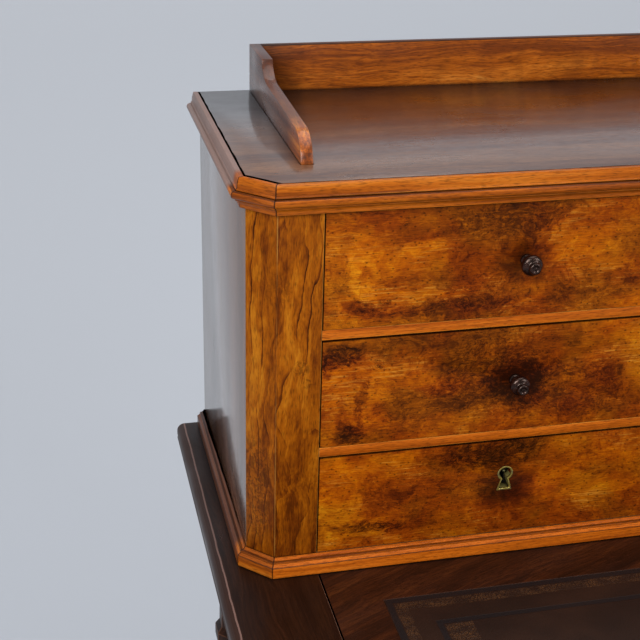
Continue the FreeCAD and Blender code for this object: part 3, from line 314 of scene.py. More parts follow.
# Writing slide: a walnut board with two stops below it, which slides out between the cheeks.
# It is veneered with a redder, livelier walnut than the edges.


def painted_gap_shade(material, share):
    """The painted shade of a gap between two boards, drawn where the share is one: black, with no polish
    and no shine.
    """
    tint(material, share, "040201")
    shader = material.node_tree.nodes["Principled BSDF"]
    for place in ("Coat Weight", "Specular IOR Level"):
        full = shader.inputs[place].default_value
        drive(material, place, add_node(material.node_tree, "MapRange", share, 0.0, 1.0, full, 0.0))


slide_tones = ("1a0b05", "2a1309", "391a0b", "4a250f")
slide_walnut = walnut("figured_dark_walnut_veneer", slide_tones, 30, "3c2010", 0.8, 0.38, 0.15)
# Where it slides against the cheeks its edges are painted black: painted shade in the gap between them.
add = partial(add_node, slide_walnut.node_tree)
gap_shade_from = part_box("writing_slide")[1].x - 0.0009
aside = add("Math", add("SeparateXYZ", add("TexCoord", output="Object")), operation="ABSOLUTE")
painted_gap_shade(slide_walnut, add("Math", aside, gap_shade_from, operation="GREATER_THAN"))
worked("writing_slide", slide_walnut, board=15.0, arris=0.0005)

# Writing leather: one skin of thin calf, dyed near black-brown and let in flush with the board.
# The bookbinder's lines are pressed in blind and the roll between them is gilt, now mostly worn away.

leather_low, leather_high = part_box("slide_leather")
# Where the tooling lies in from the edge, as shares of 80 mm.
line_stops = ((0.004, "000000"), (0.012, "ffffff"), (0.078, "ffffff"), (0.086, "000000"))
line_stops += ((0.474, "000000"), (0.482, "ffffff"), (0.545, "ffffff"), (0.553, "000000"))
roll_stops = ((0.09, "000000"), (0.1, "ffffff"), (0.23, "ffffff"), (0.24, "000000"))


def tooled_leather():
    """Calf with a fine pebble, two broad blind lines, a gilt roll between and a block in each corner."""
    material, add = new_finish("dyed_calf_leather", 0.55, 0.25)
    place = add("TexCoord", output="Object")
    ragged = add("TexNoise", cells(add, place, 6, 6, 6), Detail=3.0, Scale=1.0, output="Color")
    ragged = add("VectorMath", ragged, (0.0012, 0.0012, 0.0), place, operation="MULTIPLY_ADD")
    middle = tuple((leather_low + leather_high) / 2 + Vector((0.0006, 0.0006, 0)))
    away = add("VectorMath", ragged, middle, operation="SUBTRACT")
    away = add("VectorMath", away, operation="ABSOLUTE")
    inward = add("VectorMath", (leather_high - leather_low) / 2, away, operation="SUBTRACT")
    from_end = add("SeparateXYZ", inward, output="X")
    from_side = add("SeparateXYZ", inward, output="Y")
    edge = add("Math", from_end, from_side, operation="MINIMUM")
    edge = add("Math", edge, 1 / 0.08, operation="MULTIPLY")
    lines = add("ValToRGB", edge, stops=line_stops)
    roll = add("ValToRGB", edge, stops=roll_stops)
    end_block = add("Math", from_end, 0.058, 0.013, operation="COMPARE")
    side_block = add("Math", from_side, 0.058, 0.013, operation="COMPARE")
    block = add("Math", end_block, side_block, operation="MULTIPLY")
    gilt = add("Math", roll, block, operation="MAXIMUM")
    leaves = cells(add, ragged, 3.2, 3.2, 3.2)
    leaves = add("TexVoronoi", leaves, Scale=1.0, Randomness=1.0, feature="DISTANCE_TO_EDGE")
    veins = add("MapRange", leaves, 0.06, 0.16, 0.0, 1.0)
    stems = add("Math", leaves, 0.36, 0.05, operation="COMPARE")
    leaves = add("Math", veins, stems, operation="SUBTRACT", use_clamp=True)
    kept = add("TexNoise", cells(add, place, 14, 9, 9), Detail=5.0, Scale=1.0)
    kept = add("MapRange", kept, 0.42, 0.62, 0.1, 0.8)
    gilt = add("Math", gilt, leaves, operation="MULTIPLY")
    shown = add("Math", gilt, kept, operation="MULTIPLY")
    cloud = add("TexNoise", cells(add, place, 70, 45, 45), Detail=6.0, Scale=1.0)
    stops = ((0.35, "1a0e08"), (0.5, "1f110a"), (0.68, "28170e"))
    drive(material, "Base Color", add("ValToRGB", cloud, stops=stops))
    tint(material, shown, "50331a")
    tint(material, add("Math", lines, 0.75, operation="MULTIPLY"), "0d1013")
    pebble = add("TexVoronoi", cells(add, place, 1.1, 1.1, 1.1), Scale=1.0)
    height = add("Math", pebble, 0.35, 1.0, operation="MULTIPLY_ADD")
    height = add("Math", height, lines, operation="SUBTRACT")
    height = add("Math", height, gilt, operation="SUBTRACT")
    drive(material, "Normal", add("Bump", Height=height, Strength=0.7, Distance=0.0003))
    return material


worked("slide_leather", tooled_leather(), arris=0.0002)

# Frieze drawer: a burr-veneered front on an oak box, dovetailed at the front and the back.
# The veneer is cut from the same burr as the small drawers above it.

# Waxed oak, yellower than the pine: the eye sees coarse bands and a faint sheen.
old_oak = plain_wood("waxed_old_oak", ("684827", "7d5932", "8f6b40"), 12, 0.5)


def boxed(node, board, thickness):
    """A drawer's oak box: the grain runs back in its sides and across in its back and bottom."""
    low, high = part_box(node)

    def in_a_side(place):
        inner = (high.x - low.x) / 2 - thickness - 0.0005
        return Vector((0, 1, 0)) if abs(place.x - (low.x + high.x) / 2) > inner else None

    worked(node, old_oak, board, 0.0005, in_a_side)


# Light and dark clouds of the leaf: mm aside from the desk's middle, mm above the floor, half width, half
# height and how much they lighten it.
clouds_in_leaf = (
    (372, 1066, 26, 60, 0.09), (349, 1068, 17, 30, 0.13), (305, 1078, 42, 13, 0.12),
    (290, 1030, 80, 9, -0.12), (226, 1104, 52, 20, -0.10), (356, 1036, 17, 9, -0.14),
    (250, 1052, 60, 20, 0.03), (365, 983, 20, 15, -0.20), (383, 972, 3, 14, -0.16),
    (357, 906, 14, 13, -0.18), (345, 935, 6, 26, -0.12), (378, 935, 12, 40, 0.06),
    (330, 948, 14, 20, 0.02), (300, 968, 26, 9, 0.04), (225, 950, 60, 44, -0.12),
    (290, 925, 40, 30, -0.05), (374, 838, 22, 52, 0.12), (330, 870, 30, 12, 0.05),
    (352, 801, 26, 9, -0.17), (318, 797, 18, 7, -0.12), (222, 870, 52, 17, -0.14),
    (290, 830, 60, 30, -0.03), (120, 1070, 70, 30, 0.09), (150, 930, 60, 34, -0.09),
    (110, 835, 60, 40, 0.09), (70, 960, 30, 30, 0.08),
)
# Clusters of eyes: the first four numbers in the same way.
eyes_in_leaf = (
    (358, 1035, 9, 7), (334, 1036, 6, 5), (320, 1110, 5, 5), (338, 974, 7, 6), (354, 802, 14, 6),
)


def away_from(add, place, middle, half):
    """How far a place lies from a spot's middle, in its half sizes each way: mm, and 0 for endless."""
    away = add("VectorMath", place, [part / 1000 for part in middle], operation="SUBTRACT")
    away = add("VectorMath", away, [size and 1000 / size for size in half], operation="MULTIPLY")
    return add("VectorMath", away, operation="LENGTH")


def burr_walnut():
    """Burr walnut veneer, matched about the middle: clouds from gold to black-brown, fine swirls, eyes."""
    material, add = new_finish("french_polished_burr_walnut", 0.38, 0.06)
    place = add("TexCoord", output="Object")
    leaf = add("VectorMath", place, operation="ABSOLUTE")
    seat = add("Attribute", output="Vector", attribute_name="seat")
    drift = add("TexNoise", cells(add, leaf, 80, 60, 60), Scale=1.0, Detail=2.0, output="Color")
    swept = add("VectorMath", drift, (0.04, 0.04, 0.04), leaf, operation="MULTIPLY_ADD")
    curl = cells(add, swept, 15, 10, 10)
    curl = add("TexNoise", curl, Scale=1.0, Detail=6.0, Roughness=0.6, output="Color")
    curled = add("VectorMath", curl, (0.022, 0.022, 0.022), swept, operation="MULTIPLY_ADD")
    clouds = add("TexNoise", cells(add, curled, 85, 42, 42), Scale=1.0, Detail=6.0, Roughness=0.62)
    mottle = add("TexNoise", cells(add, curled, 11, 8, 8), Scale=1.0, Detail=6.0, Roughness=0.7)
    lie = add("TexNoise", cells(add, leaf, 40, 1.4, 1.4), Scale=1.0, Detail=2.0)
    tone = add("Math", clouds, 0.75, -0.15, operation="MULTIPLY_ADD")
    tone = add("Math", mottle, 0.4, tone, operation="MULTIPLY_ADD")
    tone = add("Math", lie, 0.14, tone, operation="MULTIPLY_ADD")
    # The curling moves every place by 31 mm on the whole, so the clouds' middles go with it.
    curl_drift = 31
    lifts = 0.0
    for across, up, wide, high, lift in clouds_in_leaf:
        away = away_from(add, curled, (across + curl_drift, 0, up + curl_drift), (wide, 0, high))
        away = add("MapRange", away, 0.6, 1.25, lift, 0.0, interpolation_type="SMOOTHSTEP")
        lifts = add("Math", away, lifts, operation="ADD")
    speckle = add("TexNoise", cells(add, curled, 5, 3.5, 3.5), Scale=1.0, Detail=5.0, Roughness=0.75)
    broken = add("MapRange", speckle, 0.38, 0.62, 1.7, 0.3)
    dark_lifts = add("Math", lifts, 0.0, operation="MINIMUM")
    pale_lifts = add("Math", lifts, 0.0, operation="MAXIMUM")
    tone = add("Math", dark_lifts, broken, tone, operation="MULTIPLY_ADD")
    tone = add("Math", tone, pale_lifts, operation="ADD")
    tone = add("Math", speckle, 0.22, tone, operation="MULTIPLY_ADD")
    tone = add("Math", tone, 0.12, operation="SUBTRACT")
    reach = add("VectorMath", seat, (0.9, 0.0, 1.15), operation="MULTIPLY")
    reach = add("VectorMath", reach, operation="LENGTH")
    stain = add("MapRange", reach, 0.01, 0.036, 0.2, 0.0, interpolation_type="SMOOTHSTEP")
    tone = add("Math", tone, stain, operation="SUBTRACT")
    swirls = add("TexNoise", cells(add, curled, 60, 38, 38), Scale=1.0, Detail=1.0)
    swirls = add("Math", swirls, 30.0, operation="MULTIPLY")
    swirls = add("Math", swirls, 1.0, operation="PINGPONG")
    swirls = add("MapRange", swirls, 0.0, 0.4, 0.08, 0.0)
    swirling = add("TexNoise", cells(add, leaf, 50, 40, 40), Scale=1.0, Detail=1.0)
    swirling = add("MapRange", swirling, 0.42, 0.56, 0.1, 1.0)
    swirls = add("Math", swirls, swirling, operation="MULTIPLY")
    tone = add("Math", tone, swirls, operation="SUBTRACT")
    red_stops = ((0.18, "280c03"), (0.34, "551e04"), (0.49, "883904"), (0.63, "af5704"), (0.78, "d07c0c"))
    red = add("ValToRGB", tone, stops=red_stops)
    olive_stops = ((0.18, "281003"), (0.34, "552504"), (0.49, "874205"), (0.63, "ae5f07"), (0.78, "d08812"))
    olive = add("ValToRGB", tone, stops=olive_stops)
    hue = add("TexNoise", cells(add, swept, 60, 40, 40), Scale=1.0, Detail=3.0)
    hue = add("MapRange", hue, 0.42, 0.62, 0.0, 1.0)
    drive(material, "Base Color", add("Mix", hue, red, olive, data_type="RGBA"))
    scuffs = add("TexNoise", cells(add, leaf, 26, 1.1, 1.1), Scale=1.0, Detail=1.0)
    scuffs = add("MapRange", scuffs, 0.54, 0.66, 0.0, 0.4)
    worn = add("TexNoise", cells(add, leaf, 70, 26, 26), Scale=1.0, Detail=3.0)
    worn = add("MapRange", worn, 0.48, 0.62, 0.0, 1.0)
    scuffs = add("Math", scuffs, worn, operation="MULTIPLY")
    pale = add("MapRange", tone, 0.44, 0.58, 0.0, 1.0)
    scuffs = add("Math", scuffs, pale, operation="MULTIPLY")
    tint(material, scuffs, "dc9a38")
    herd = add("TexNoise", cells(add, leaf, 55, 40, 40), Scale=1.0, Detail=1.0)
    herd = add("MapRange", herd, 0.62, 0.68, 0.0, 0.5)
    for across, up, wide, high in eyes_in_leaf:
        away = away_from(add, leaf, (across, 0, up), (wide, 0, high))
        away = add("MapRange", away, 0.8, 1.2, 1.0, 0.0)
        herd = add("Math", herd, away, operation="MAXIMUM")
    flat = add("VectorRotate", swept, Angle=math.pi / 2, rotation_type="X_AXIS")
    eyes = add("TexVoronoi", cells(add, flat, 8, 7, 7), Scale=1.0, Randomness=0.9, voronoi_dimensions="2D")
    dots = add("MapRange", eyes, 0.08, 0.2, 0.8, 0.0)
    rings = add("Math", eyes, 26.0, operation="MULTIPLY")
    rings = add("Math", rings, operation="COSINE")
    near = add("MapRange", eyes, 0.2, 0.75, 0.75, 0.0)
    rings = add("Math", rings, near, operation="MULTIPLY")
    dots = add("Math", dots, rings, operation="MAXIMUM")
    dots = add("Math", dots, herd, operation="MULTIPLY", use_clamp=True)
    flat = add("VectorRotate", leaf, Angle=math.pi / 2, rotation_type="X_AXIS")
    specks = cells(add, flat, 11, 9, 9)
    specks = add("TexVoronoi", specks, Scale=1.0, Randomness=1.0, voronoi_dimensions="2D")
    specks = add("MapRange", specks, 0.05, 0.12, 0.6, 0.0)
    dots = add("Math", dots, specks, operation="MAXIMUM")
    tint(material, dots, "240c03")
    depth = add("SeparateXYZ", seat, output="Y")
    inside = add("Math", depth, -0.0085, operation="GREATER_THAN")
    close = add("Math", reach, 0.016, operation="LESS_THAN")
    tint(material, add("Math", inside, close, operation="MULTIPLY"), "655d34")
    finish_wood(material, lie, "5e2f0c", 0.38)
    return material


burr = burr_walnut()
worked("frieze_drawer_front", burr, board=21.0)
boxed("frieze_drawer_box", 22.0, 0.010)

# Sides of the upper case: plain walnut boards, upright in the grain and tongued into the corner posts.
# Their polish is thick and clear as glass.

side_tones = ("42281a", "583724", "6d4830", "855b40")
side_walnut = walnut("french_polished_plain_walnut", side_tones, 20, "8a6244", 0.7, 0.2, 0.5, 0.8)
# The base moulding has come a little away from each side: black painted shade in the gap above it, widest
# at the back.
add = partial(add_node, side_walnut.node_tree)
moulding_top = 0.7786
place = add("TexCoord", output="Object")
ragged = add("TexNoise", cells(add, place, 25, 25, 25), Scale=1.0, Detail=4.0)
gap = add("VectorMath", place, (0.0, -0.003, 1.0), operation="DOT_PRODUCT")
gap = add("Math", ragged, -0.0014, gap, operation="MULTIPLY_ADD")
painted_gap_shade(side_walnut, add("MapRange", gap, moulding_top, moulding_top + 0.0006, 1.0, 0.0))
for number, side in enumerate(("left", "right")):
    worked(f"upper_side_{side}", side_walnut, board=number + 31.0)

# Top board of the upper case: walnut of the same cut, running across between the cornice and the gallery.
# Its top face is painted darker towards the gallery, as painted shade.

top_tones = ("3c271d", "533629", "66452f", "7b5438")
top_walnut = walnut("french_polished_top_walnut", top_tones, 26, "060302", 0.6, 0.3, 0.5, 0.8)
add = partial(add_node, top_walnut.node_tree)
board_low, board_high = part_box("top_board")
place = add("TexCoord", output="Object")
# Painted shade: the top face darkens towards the gallery.
back = add("SeparateXYZ", place, output="Y")
back = add("MapRange", back, 0.12, 0.26, 0.0, 0.97, interpolation_type="SMOOTHSTEP")
above = add("SeparateXYZ", place, output="Z")
above = add("Math", above, board_high.z - 0.0003, operation="GREATER_THAN")
tint(top_walnut, add("Math", back, above, operation="MULTIPLY"), "1c0d07")
# The board has shrunk from its edging: black painted shade in the gap along the front, the cants and the
# ends.
board_cant = 0.4172
past = past_edge(add, board_high.x, 0.0011 - board_low.y, board_cant)
ragged = add("TexNoise", cells(add, place, 25, 25, 25), Scale=1.0, Detail=4.0)
past = add("Math", ragged, 0.0022, past, operation="MULTIPLY_ADD")
painted_gap_shade(top_walnut, add("MapRange", past, -0.0013, -0.0008, 0.0, 1.0))
worked("top_board", top_walnut, board=33.0)

# Corner posts: veneered on the front and on the cant with an olive-gold walnut full of dark flames.
# The two veneers meet in a hard line at the arris.


# Knots: the middle aside from the desk's middle, behind it and above the floor, half width and half height;
# all in mm.
knots_in_posts = (((446, 29, 850), 16, 58), ((408, 13.5, 977), 7, 9), ((402, 13.5, 962), 5, 6))


def flamed_walnut():
    """Figured walnut veneer: an even olive gold under thin dark flames, with a few knots and burr eyes."""
    material, add = new_finish("french_polished_flamed_walnut", 0.38, 0.06)
    place = add("TexCoord", output="Object")
    leaf = add("VectorMath", place, operation="ABSOLUTE")
    grain = add("Attribute", output="Vector", attribute_name="grain")
    sway = add("TexNoise", cells(add, grain, 130, 60, 60), Scale=1.0, Detail=2.0, output="Color")
    bent = add("VectorMath", sway, (0, 0.05, 0.05), grain, operation="MULTIPLY_ADD")
    curl = add("TexNoise", cells(add, bent, 40, 14, 14), Scale=1.0, Detail=3.0, output="Color")
    curled = add("VectorMath", curl, (0, 0.004, 0.004), bent, operation="MULTIPLY_ADD")
    sway = add("VectorMath", sway, (0.085, 0.0, 0.0), operation="DOT_PRODUCT")
    curl = add("VectorMath", curl, (0.014, 0.0, 0.0), operation="DOT_PRODUCT")
    width = add("VectorMath", leaf, (1.0, 1.0, 0.06), operation="DOT_PRODUCT")
    width = add("Math", width, sway, operation="ADD")
    width = add("Math", width, curl, operation="ADD")
    layers = add("Math", width, 52.0, operation="MULTIPLY")
    layers = add("Math", layers, operation="FRACT")
    strong = add("TexNoise", cells(add, curled, 120, 18, 18), Scale=1.0, Detail=2.0)
    strong = add("MapRange", strong, 0.42, 0.62, 0.0, -0.26)
    height = add("SeparateXYZ", place, output="Z")
    outward = add("SeparateXYZ", place, output="Y")
    calm = add("MapRange", height, 0.9, 1.0, 0.75, 0.0)
    front = add("Math", outward, 0.0145, operation="LESS_THAN")
    calm = add("Math", calm, front, operation="MULTIPLY")
    calm = add("Math", 1.0, calm, operation="SUBTRACT")
    strong = add("Math", strong, calm, operation="MULTIPLY")
    flames = add("MapRange", layers, 0.0, 0.16, 1.0, 0.0)
    flames = add("Math", flames, strong, operation="MULTIPLY")
    streaks = add("TexNoise", cells(add, curled, 60, 1.6, 1.6), Scale=1.0, Detail=3.0)
    mottle = add("TexNoise", cells(add, curled, 14, 5, 5), Scale=1.0, Detail=4.0, Roughness=0.6)
    tone = add("Math", streaks, 0.2, flames, operation="MULTIPLY_ADD")
    tone = add("Math", mottle, 0.3, tone, operation="MULTIPLY_ADD")
    tone = add("Math", layers, 0.06, tone, operation="MULTIPLY_ADD")
    broad = add("TexNoise", cells(add, curled, 110, 18, 18), Scale=1.0, Detail=3.0)
    tone = add("Math", broad, 0.4, tone, operation="MULTIPLY_ADD")
    tone = add("Math", tone, 0.02, operation="ADD")
    on_cant = add("MapRange", outward, 0.0142, 0.015, -0.015, 0.045)
    tone = add("Math", tone, on_cant, operation="ADD")
    from_arris = add("SeparateXYZ", leaf, output="X")
    from_arris = add("Math", from_arris, curl, operation="ADD")
    from_arris = add("Math", from_arris, 0.443, 0.006, operation="COMPARE")
    tone = add("Math", from_arris, -0.06, tone, operation="MULTIPLY_ADD")
    aged = add("MapRange", height, 0.8, 0.98, -0.07, 0.0, interpolation_type="SMOOTHSTEP")
    tone = add("Math", tone, aged, operation="ADD")
    stops = ((0.24, "311303"), (0.38, "672e05"), (0.5, "944d07"), (0.64, "b56d14"))
    drive(material, "Base Color", add("ValToRGB", tone, stops=stops))
    herd = add("TexNoise", cells(add, grain, 70, 45, 45), Scale=1.0, Detail=1.0)
    herd = add("MapRange", herd, 0.64, 0.7, 0.0, 0.5)
    for middle, wide, high in knots_in_posts:
        away = away_from(add, leaf, middle, (wide, 25, high))
        away = add("MapRange", away, 0.7, 1.2, 1.0, 0.0)
        herd = add("Math", herd, away, operation="MAXIMUM")
    swell = add("TexNoise", cells(add, leaf, 14, 14, 16), Scale=1.0, Detail=3.0, Roughness=0.65)
    rings = add("Math", swell, 14.0, operation="MULTIPLY")
    rings = add("Math", rings, 1.0, operation="PINGPONG")
    rings = add("MapRange", rings, 0.0, 0.6, 0.6, 0.0)
    dots = add("MapRange", swell, 0.52, 0.64, 0.0, 0.6)
    dots = add("Math", dots, rings, operation="MAXIMUM")
    tint(material, add("Math", dots, herd, operation="MULTIPLY"), "351604")
    finish_wood(material, streaks, "9a662a", 0.38)
    return material


flamed = flamed_walnut()
for number, side in enumerate(("left", "right")):
    worked(f"corner_post_{side}", flamed, board=number + 41.0)

# Front mouldings, drawer rails and stile: solid orange-brown walnut, straight in the grain.
# The mouldings are planed to one section, mitred at the cants, glued to the case and polished with it.

moulding_tones = ("451c05", "86400c", "a9560f", "c67726")
moulding_walnut = walnut("french_polished_straight_walnut", moulding_tones, 12, "c5812f", 0.5, 0.34, 0.12)
for number, node in enumerate(("cornice_front", "centre_stile")):
    worked(node, moulding_walnut, board=number + 51.0, arris=0.0004)
# The base moulding and the rails have brighter tones: painted light, a lit copy of the moulding walnut.
lit_base_tones = ("541f06", "9c4809", "be6011", "d67c26")
base_walnut = walnut("french_polished_base_walnut", lit_base_tones, 12, "c5812f", 0.5, 0.34, 0.12)
for number, node in enumerate(("base_moulding_front", "drawer_rails_left", "drawer_rails_right")):
    worked(node, base_walnut, board=number + 53.0, arris=0.0004)

# Returns of the mouldings: the same walnut, mitred round the cants and glued along the sides.
# Beyond the mitres they are painted a purple grey: a painted reflection of the pale wall.


def painted_wall_sheen(material, start, end, most, colour):
    """Grey a wood's colour from one distance behind the desk's middle to another: a painted sheen, the
    reflection of the pale wall.
    """
    add = partial(add_node, material.node_tree)
    back = add("SeparateXYZ", add("TexCoord", output="Object"), output="Y")
    tint(material, add("MapRange", back, start, end, 0.0, most), colour)


mitre_start = 0.0368
case_side = 0.454


def on_the_cant(place):
    """The direction of a moulding's length on the cant, for a place in front of its rear mitre."""
    if place.y > mitre_start - (abs(place.x) - case_side) * math.tan(math.radians(22.5)):
        return None
    return Vector((1, -1 if place.x < 0 else 1, 0)).normalized()


# The direction across each mitre, and how far it lies that way from the desk's middle.
mitres = (((0.9239, 0.3827, 0.0), 0.40309), ((0.3827, 0.9239, 0.0), 0.20775))


def mitred(material):
    """Draw the thin dark glue line of each mitre, half-way between the faces that meet there."""
    add = partial(add_node, material.node_tree)
    leaf = add("VectorMath", add("TexCoord", output="Object"), operation="ABSOLUTE")
    for across, reach in mitres:
        away = add("VectorMath", leaf, across, operation="DOT_PRODUCT")
        near = add("Math", away, reach, 0.0006, operation="COMPARE")
        tint(material, add("Math", near, 0.85, operation="MULTIPLY"), "1e0a03")


def quirks(material, levels):
    """Draw the dark lines in a moulding's quirks, at heights above the floor: painted shade, with the dust
    that lies there.
    """
    add = partial(add_node, material.node_tree)
    height = add("SeparateXYZ", add("TexCoord", output="Object"), output="Z")
    for level in levels:
        near = add("Math", height, level, 0.0005, operation="COMPARE")
        tint(material, add("Math", near, 0.7, operation="MULTIPLY"), "220c04")


cornice_quirks = (1.1383, 1.1315)
base_quirks = (0.7761, 0.7718)
mitred(moulding_walnut)
quirks(moulding_walnut, cornice_quirks)
mitred(base_walnut)
quirks(base_walnut, base_quirks)
return_walnut = walnut("french_polished_walnut_painted_sheen", moulding_tones, 12, "b87832", 0.5, 0.34, 0.14)
grey_from, grey_to = 0.045, 0.056
# Painted reflection: grey beyond the mitres, where the returns face the pale wall.
painted_wall_sheen(return_walnut, grey_from, grey_to, 0.8, "4e3228")
mitred(return_walnut)
quirks(return_walnut, cornice_quirks + base_quirks)
# On the cornice, higher up, the painted reflection is paler still.
add = partial(add_node, return_walnut.node_tree)
place = add("TexCoord", output="Object")
height = add("SeparateXYZ", place, output="Z")
high = add("MapRange", height, 1.13, 1.136, 0.0, 0.65)
beyond = add("MapRange", add("SeparateXYZ", place, output="Y"), grey_from, grey_to, 0.0, 1.0)
tint(return_walnut, add("Math", high, beyond, operation="MULTIPLY"), "91786f")
# The base moulding stands off the side, more and more towards the back: black painted shade in the gap.
side_plane = 0.45264
leaf = add("VectorMath", place, operation="ABSOLUTE")
ragged = add("TexNoise", cells(add, place, 25, 25, 25), Scale=1.0, Detail=4.0)
gap = add("VectorMath", leaf, (1.0, -0.011, 0.0), operation="DOT_PRODUCT")
gap = add("Math", ragged, -0.0014, gap, operation="MULTIPLY_ADD")
gap = add("MapRange", gap, side_plane, side_plane + 0.0003, 1.0, 0.0)
low = add("Math", height, 0.9, operation="LESS_THAN")
gap = add("Math", gap, low, operation="MULTIPLY")
painted_gap_shade(return_walnut, add("Math", gap, beyond, operation="MULTIPLY"))
returns = [f"{run}_{side}" for run in ("cornice", "base_moulding") for side in ("left", "right")]
for number, node in enumerate(returns):
    worked(node, return_walnut, board=number + 57.0, arris=0.0004, other_grain=on_the_cant)

# Gallery ends: solid walnut, cut to a cove and a rounded toe and let into the top board.
# Behind their toes they are painted a dark grey-brown: a painted sheen of the pale wall over dark wood.
end_walnut = walnut("french_polished_gallery_walnut", moulding_tones, 12, "7a4a26", 0.8, 0.28, 0.3, 0.2)
# Painted sheen: dark grey-brown behind the toes.
painted_wall_sheen(end_walnut, 0.07, 0.12, 0.8, "3c2016")
for number, node in enumerate(("gallery_end_left", "gallery_end_right")):
    worked(node, end_walnut, board=number + 61.0, arris=0.0005)

# Gallery back: one walnut board between the ends, let into the top board as they are.
# It keeps its colour, an even orange with a faint curl, and is painted dark towards its ends, as painted
# shade in the corners.
gallery_tones = ("602a0a", "964b0e", "b3621b", "c98034")
gallery_walnut = walnut("french_polished_curly_walnut", gallery_tones, 38, "2c1406", 0.8, 0.34, 0.15)
add = partial(add_node, gallery_walnut.node_tree)
place = add("TexCoord", output="Object")
curl = add("TexNoise", cells(add, place, 34, 34, 46), Scale=1.0, Detail=3.0)
curl = add("MapRange", curl, 0.5, 0.68, 0.0, 0.35)
tint(gallery_walnut, curl, "5a2a0c")
aside = add("Math", add("SeparateXYZ", place, output="X"), operation="ABSOLUTE")
# Painted shade: darker towards the ends, in the corners they make with the back.
corner = add("MapRange", aside, 0.33, 0.392, 0.0, 0.6, interpolation_type="SMOOTHSTEP")
tint(gallery_walnut, corner, "2e1406")
# Its upper edge is painted dark, as painted shade on the top face.
upper_edge = 1.1962
height = add("SeparateXYZ", place, output="Z")
tint(gallery_walnut, add("MapRange", height, upper_edge, upper_edge + 0.0006, 0.0, 0.8), "1c0d06")
worked("gallery_back", gallery_walnut, board=64.0, arris=0.0006)

# Six drawers: burr-veneered fronts, lapped and dovetailed to oak sides.
# Each front is a leaf of its own from one burr.

drawers = [f"{level}_drawer_{side}" for side in ("left", "right") for level in ("top", "middle", "bottom")]
for number, drawer in enumerate(drawers):
    worked(f"{drawer}_front", burr, board=number + 71.0)
    boxed(f"{drawer}_box", number + 81.0, 0.008)

# Knobs: rosewood turned in the lathe: a collar, a waist, three beads of the chisel and a dimpled button.
# A spigot, hidden in the front, holds each one. They are near black and catch the light on every bead.

rosewood_tones = ("080302", "140806", "200e0a", "2e1610")
rosewood = walnut("turned_rosewood", rosewood_tones, 4, "2a1810", 1.0, 0.16, 0.5)
# The reflections are tinted a warm pink: a painted colour for the warm light that the knobs catch.
rosewood.node_tree.nodes["Principled BSDF"].inputs["Specular Tint"].default_value = linear("ffdccc")
# Distance out from the drawer's front and radius, in mm, from the end of the spigot to the dimple.
knob_profile = (
    (-18.0, 3.6), (-17.4, 4.0), (0.0, 4.0), (0.0, 5.2), (0.9, 5.5), (1.8, 5.1), (2.4, 4.3), (4.2, 4.0),
    (6.4, 4.3), (7.2, 5.6), (7.9, 7.0), (9.0, 7.6), (10.1, 7.1), (10.7, 6.2), (11.1, 5.9), (11.5, 6.6),
    (12.0, 8.4), (13.1, 9.6), (14.6, 9.8), (16.1, 9.4), (17.2, 8.2), (17.8, 6.8), (18.2, 5.4), (18.8, 4.6),
    (20.0, 4.6), (21.0, 5.3), (22.2, 5.7), (23.3, 5.2), (23.9, 4.3), (23.8, 3.3), (23.1, 2.6), (22.6, 1.8),
    (22.9, 1.1), (23.2, 0.6), (23.3, 0.2),
)


def turned(name, profile, centre, corners, smooth):
    """A form from the lathe: a disc drawn out ring by ring; the profile is mm towards -Y and radius."""
    (before, wide), *rings = profile
    bpy.ops.object.select_all(action="DESELECT")
    bpy.ops.mesh.primitive_circle_add(
        vertices=corners, radius=wide / 1000, fill_type="NGON",
        location=centre - Vector((0, before / 1000, 0)), rotation=(math.pi / 2, 0, 0),
    )
    form = bpy.context.object
    form.name = name
    bpy.ops.object.transform_apply(location=True, rotation=True, scale=True)
    bpy.ops.object.mode_set(mode="EDIT")
    bpy.ops.mesh.select_all(action="SELECT")
    for out, narrow in rings:
        bpy.ops.mesh.extrude_region_move(TRANSFORM_OT_translate={"value": (0, (before - out) / 1000, 0)})
        pivot = centre - Vector((0, out / 1000, 0))
        bpy.ops.transform.resize(value=(narrow / wide, 1, narrow / wide), center_override=pivot)
        before, wide = out, narrow
    bpy.ops.mesh.select_all(action="SELECT")
    bpy.ops.mesh.normals_make_consistent(inside=False)
    bpy.ops.object.mode_set(mode="OBJECT")
    bpy.ops.object.shade_smooth_by_angle(angle=math.radians(smooth))
    return form


spigot_length = 0.018
knob_drawers = [drawer for drawer in drawers if not drawer.startswith("bottom")]
knob_low, knob_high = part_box(f"{knob_drawers[0]}_knob")
centre = (knob_low + knob_high) / 2
centre.y = knob_high.y - spigot_length
first_knob = turned("first_knob", knob_profile, centre, 40, 60)
for number, drawer in enumerate(knob_drawers):
    low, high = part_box(f"{drawer}_knob")
    knob = bpy.data.objects.new(f"{drawer}_knob_turned", first_knob.data.copy())
    bpy.context.collection.objects.link(knob)
    knob.data.transform(Matrix.Translation((low + high) / 2 - (knob_low + knob_high) / 2))
    knob.data.materials.append(rosewood)
    lay_grain(knob.data, (low + high) / 2, number + 91.0)
    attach(knob, body_of[f"{drawer}_knob"])
    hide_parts(f"{drawer}_knob")
bpy.data.objects.remove(first_knob)

# Escutcheons and locks: a thread of cast brass let in round each keyhole, and an iron lock behind it.
# The brass has dulled to olive and the iron is dark.


def old_metal(name, tones, roughness):
    """Bare metal, cloudy with tarnish: where it is paler it is also smoother."""
    material, add = new_finish(name, roughness)
    material.node_tree.nodes["Principled BSDF"].inputs["Metallic"].default_value = 1.0
    place = add("TexCoord", output="Object")
    tarnish = add("TexNoise", cells(add, place, 3, 3, 3), Detail=4.0, Scale=1.0)
    drive(material, "Base Color", add("ValToRGB", tarnish, stops=list(zip((0.38, 0.5, 0.64), tones))))
    drive(material, "Roughness", add("MapRange", tarnish, 0.3, 0.7, roughness * 1.3, roughness * 0.7))
    return material


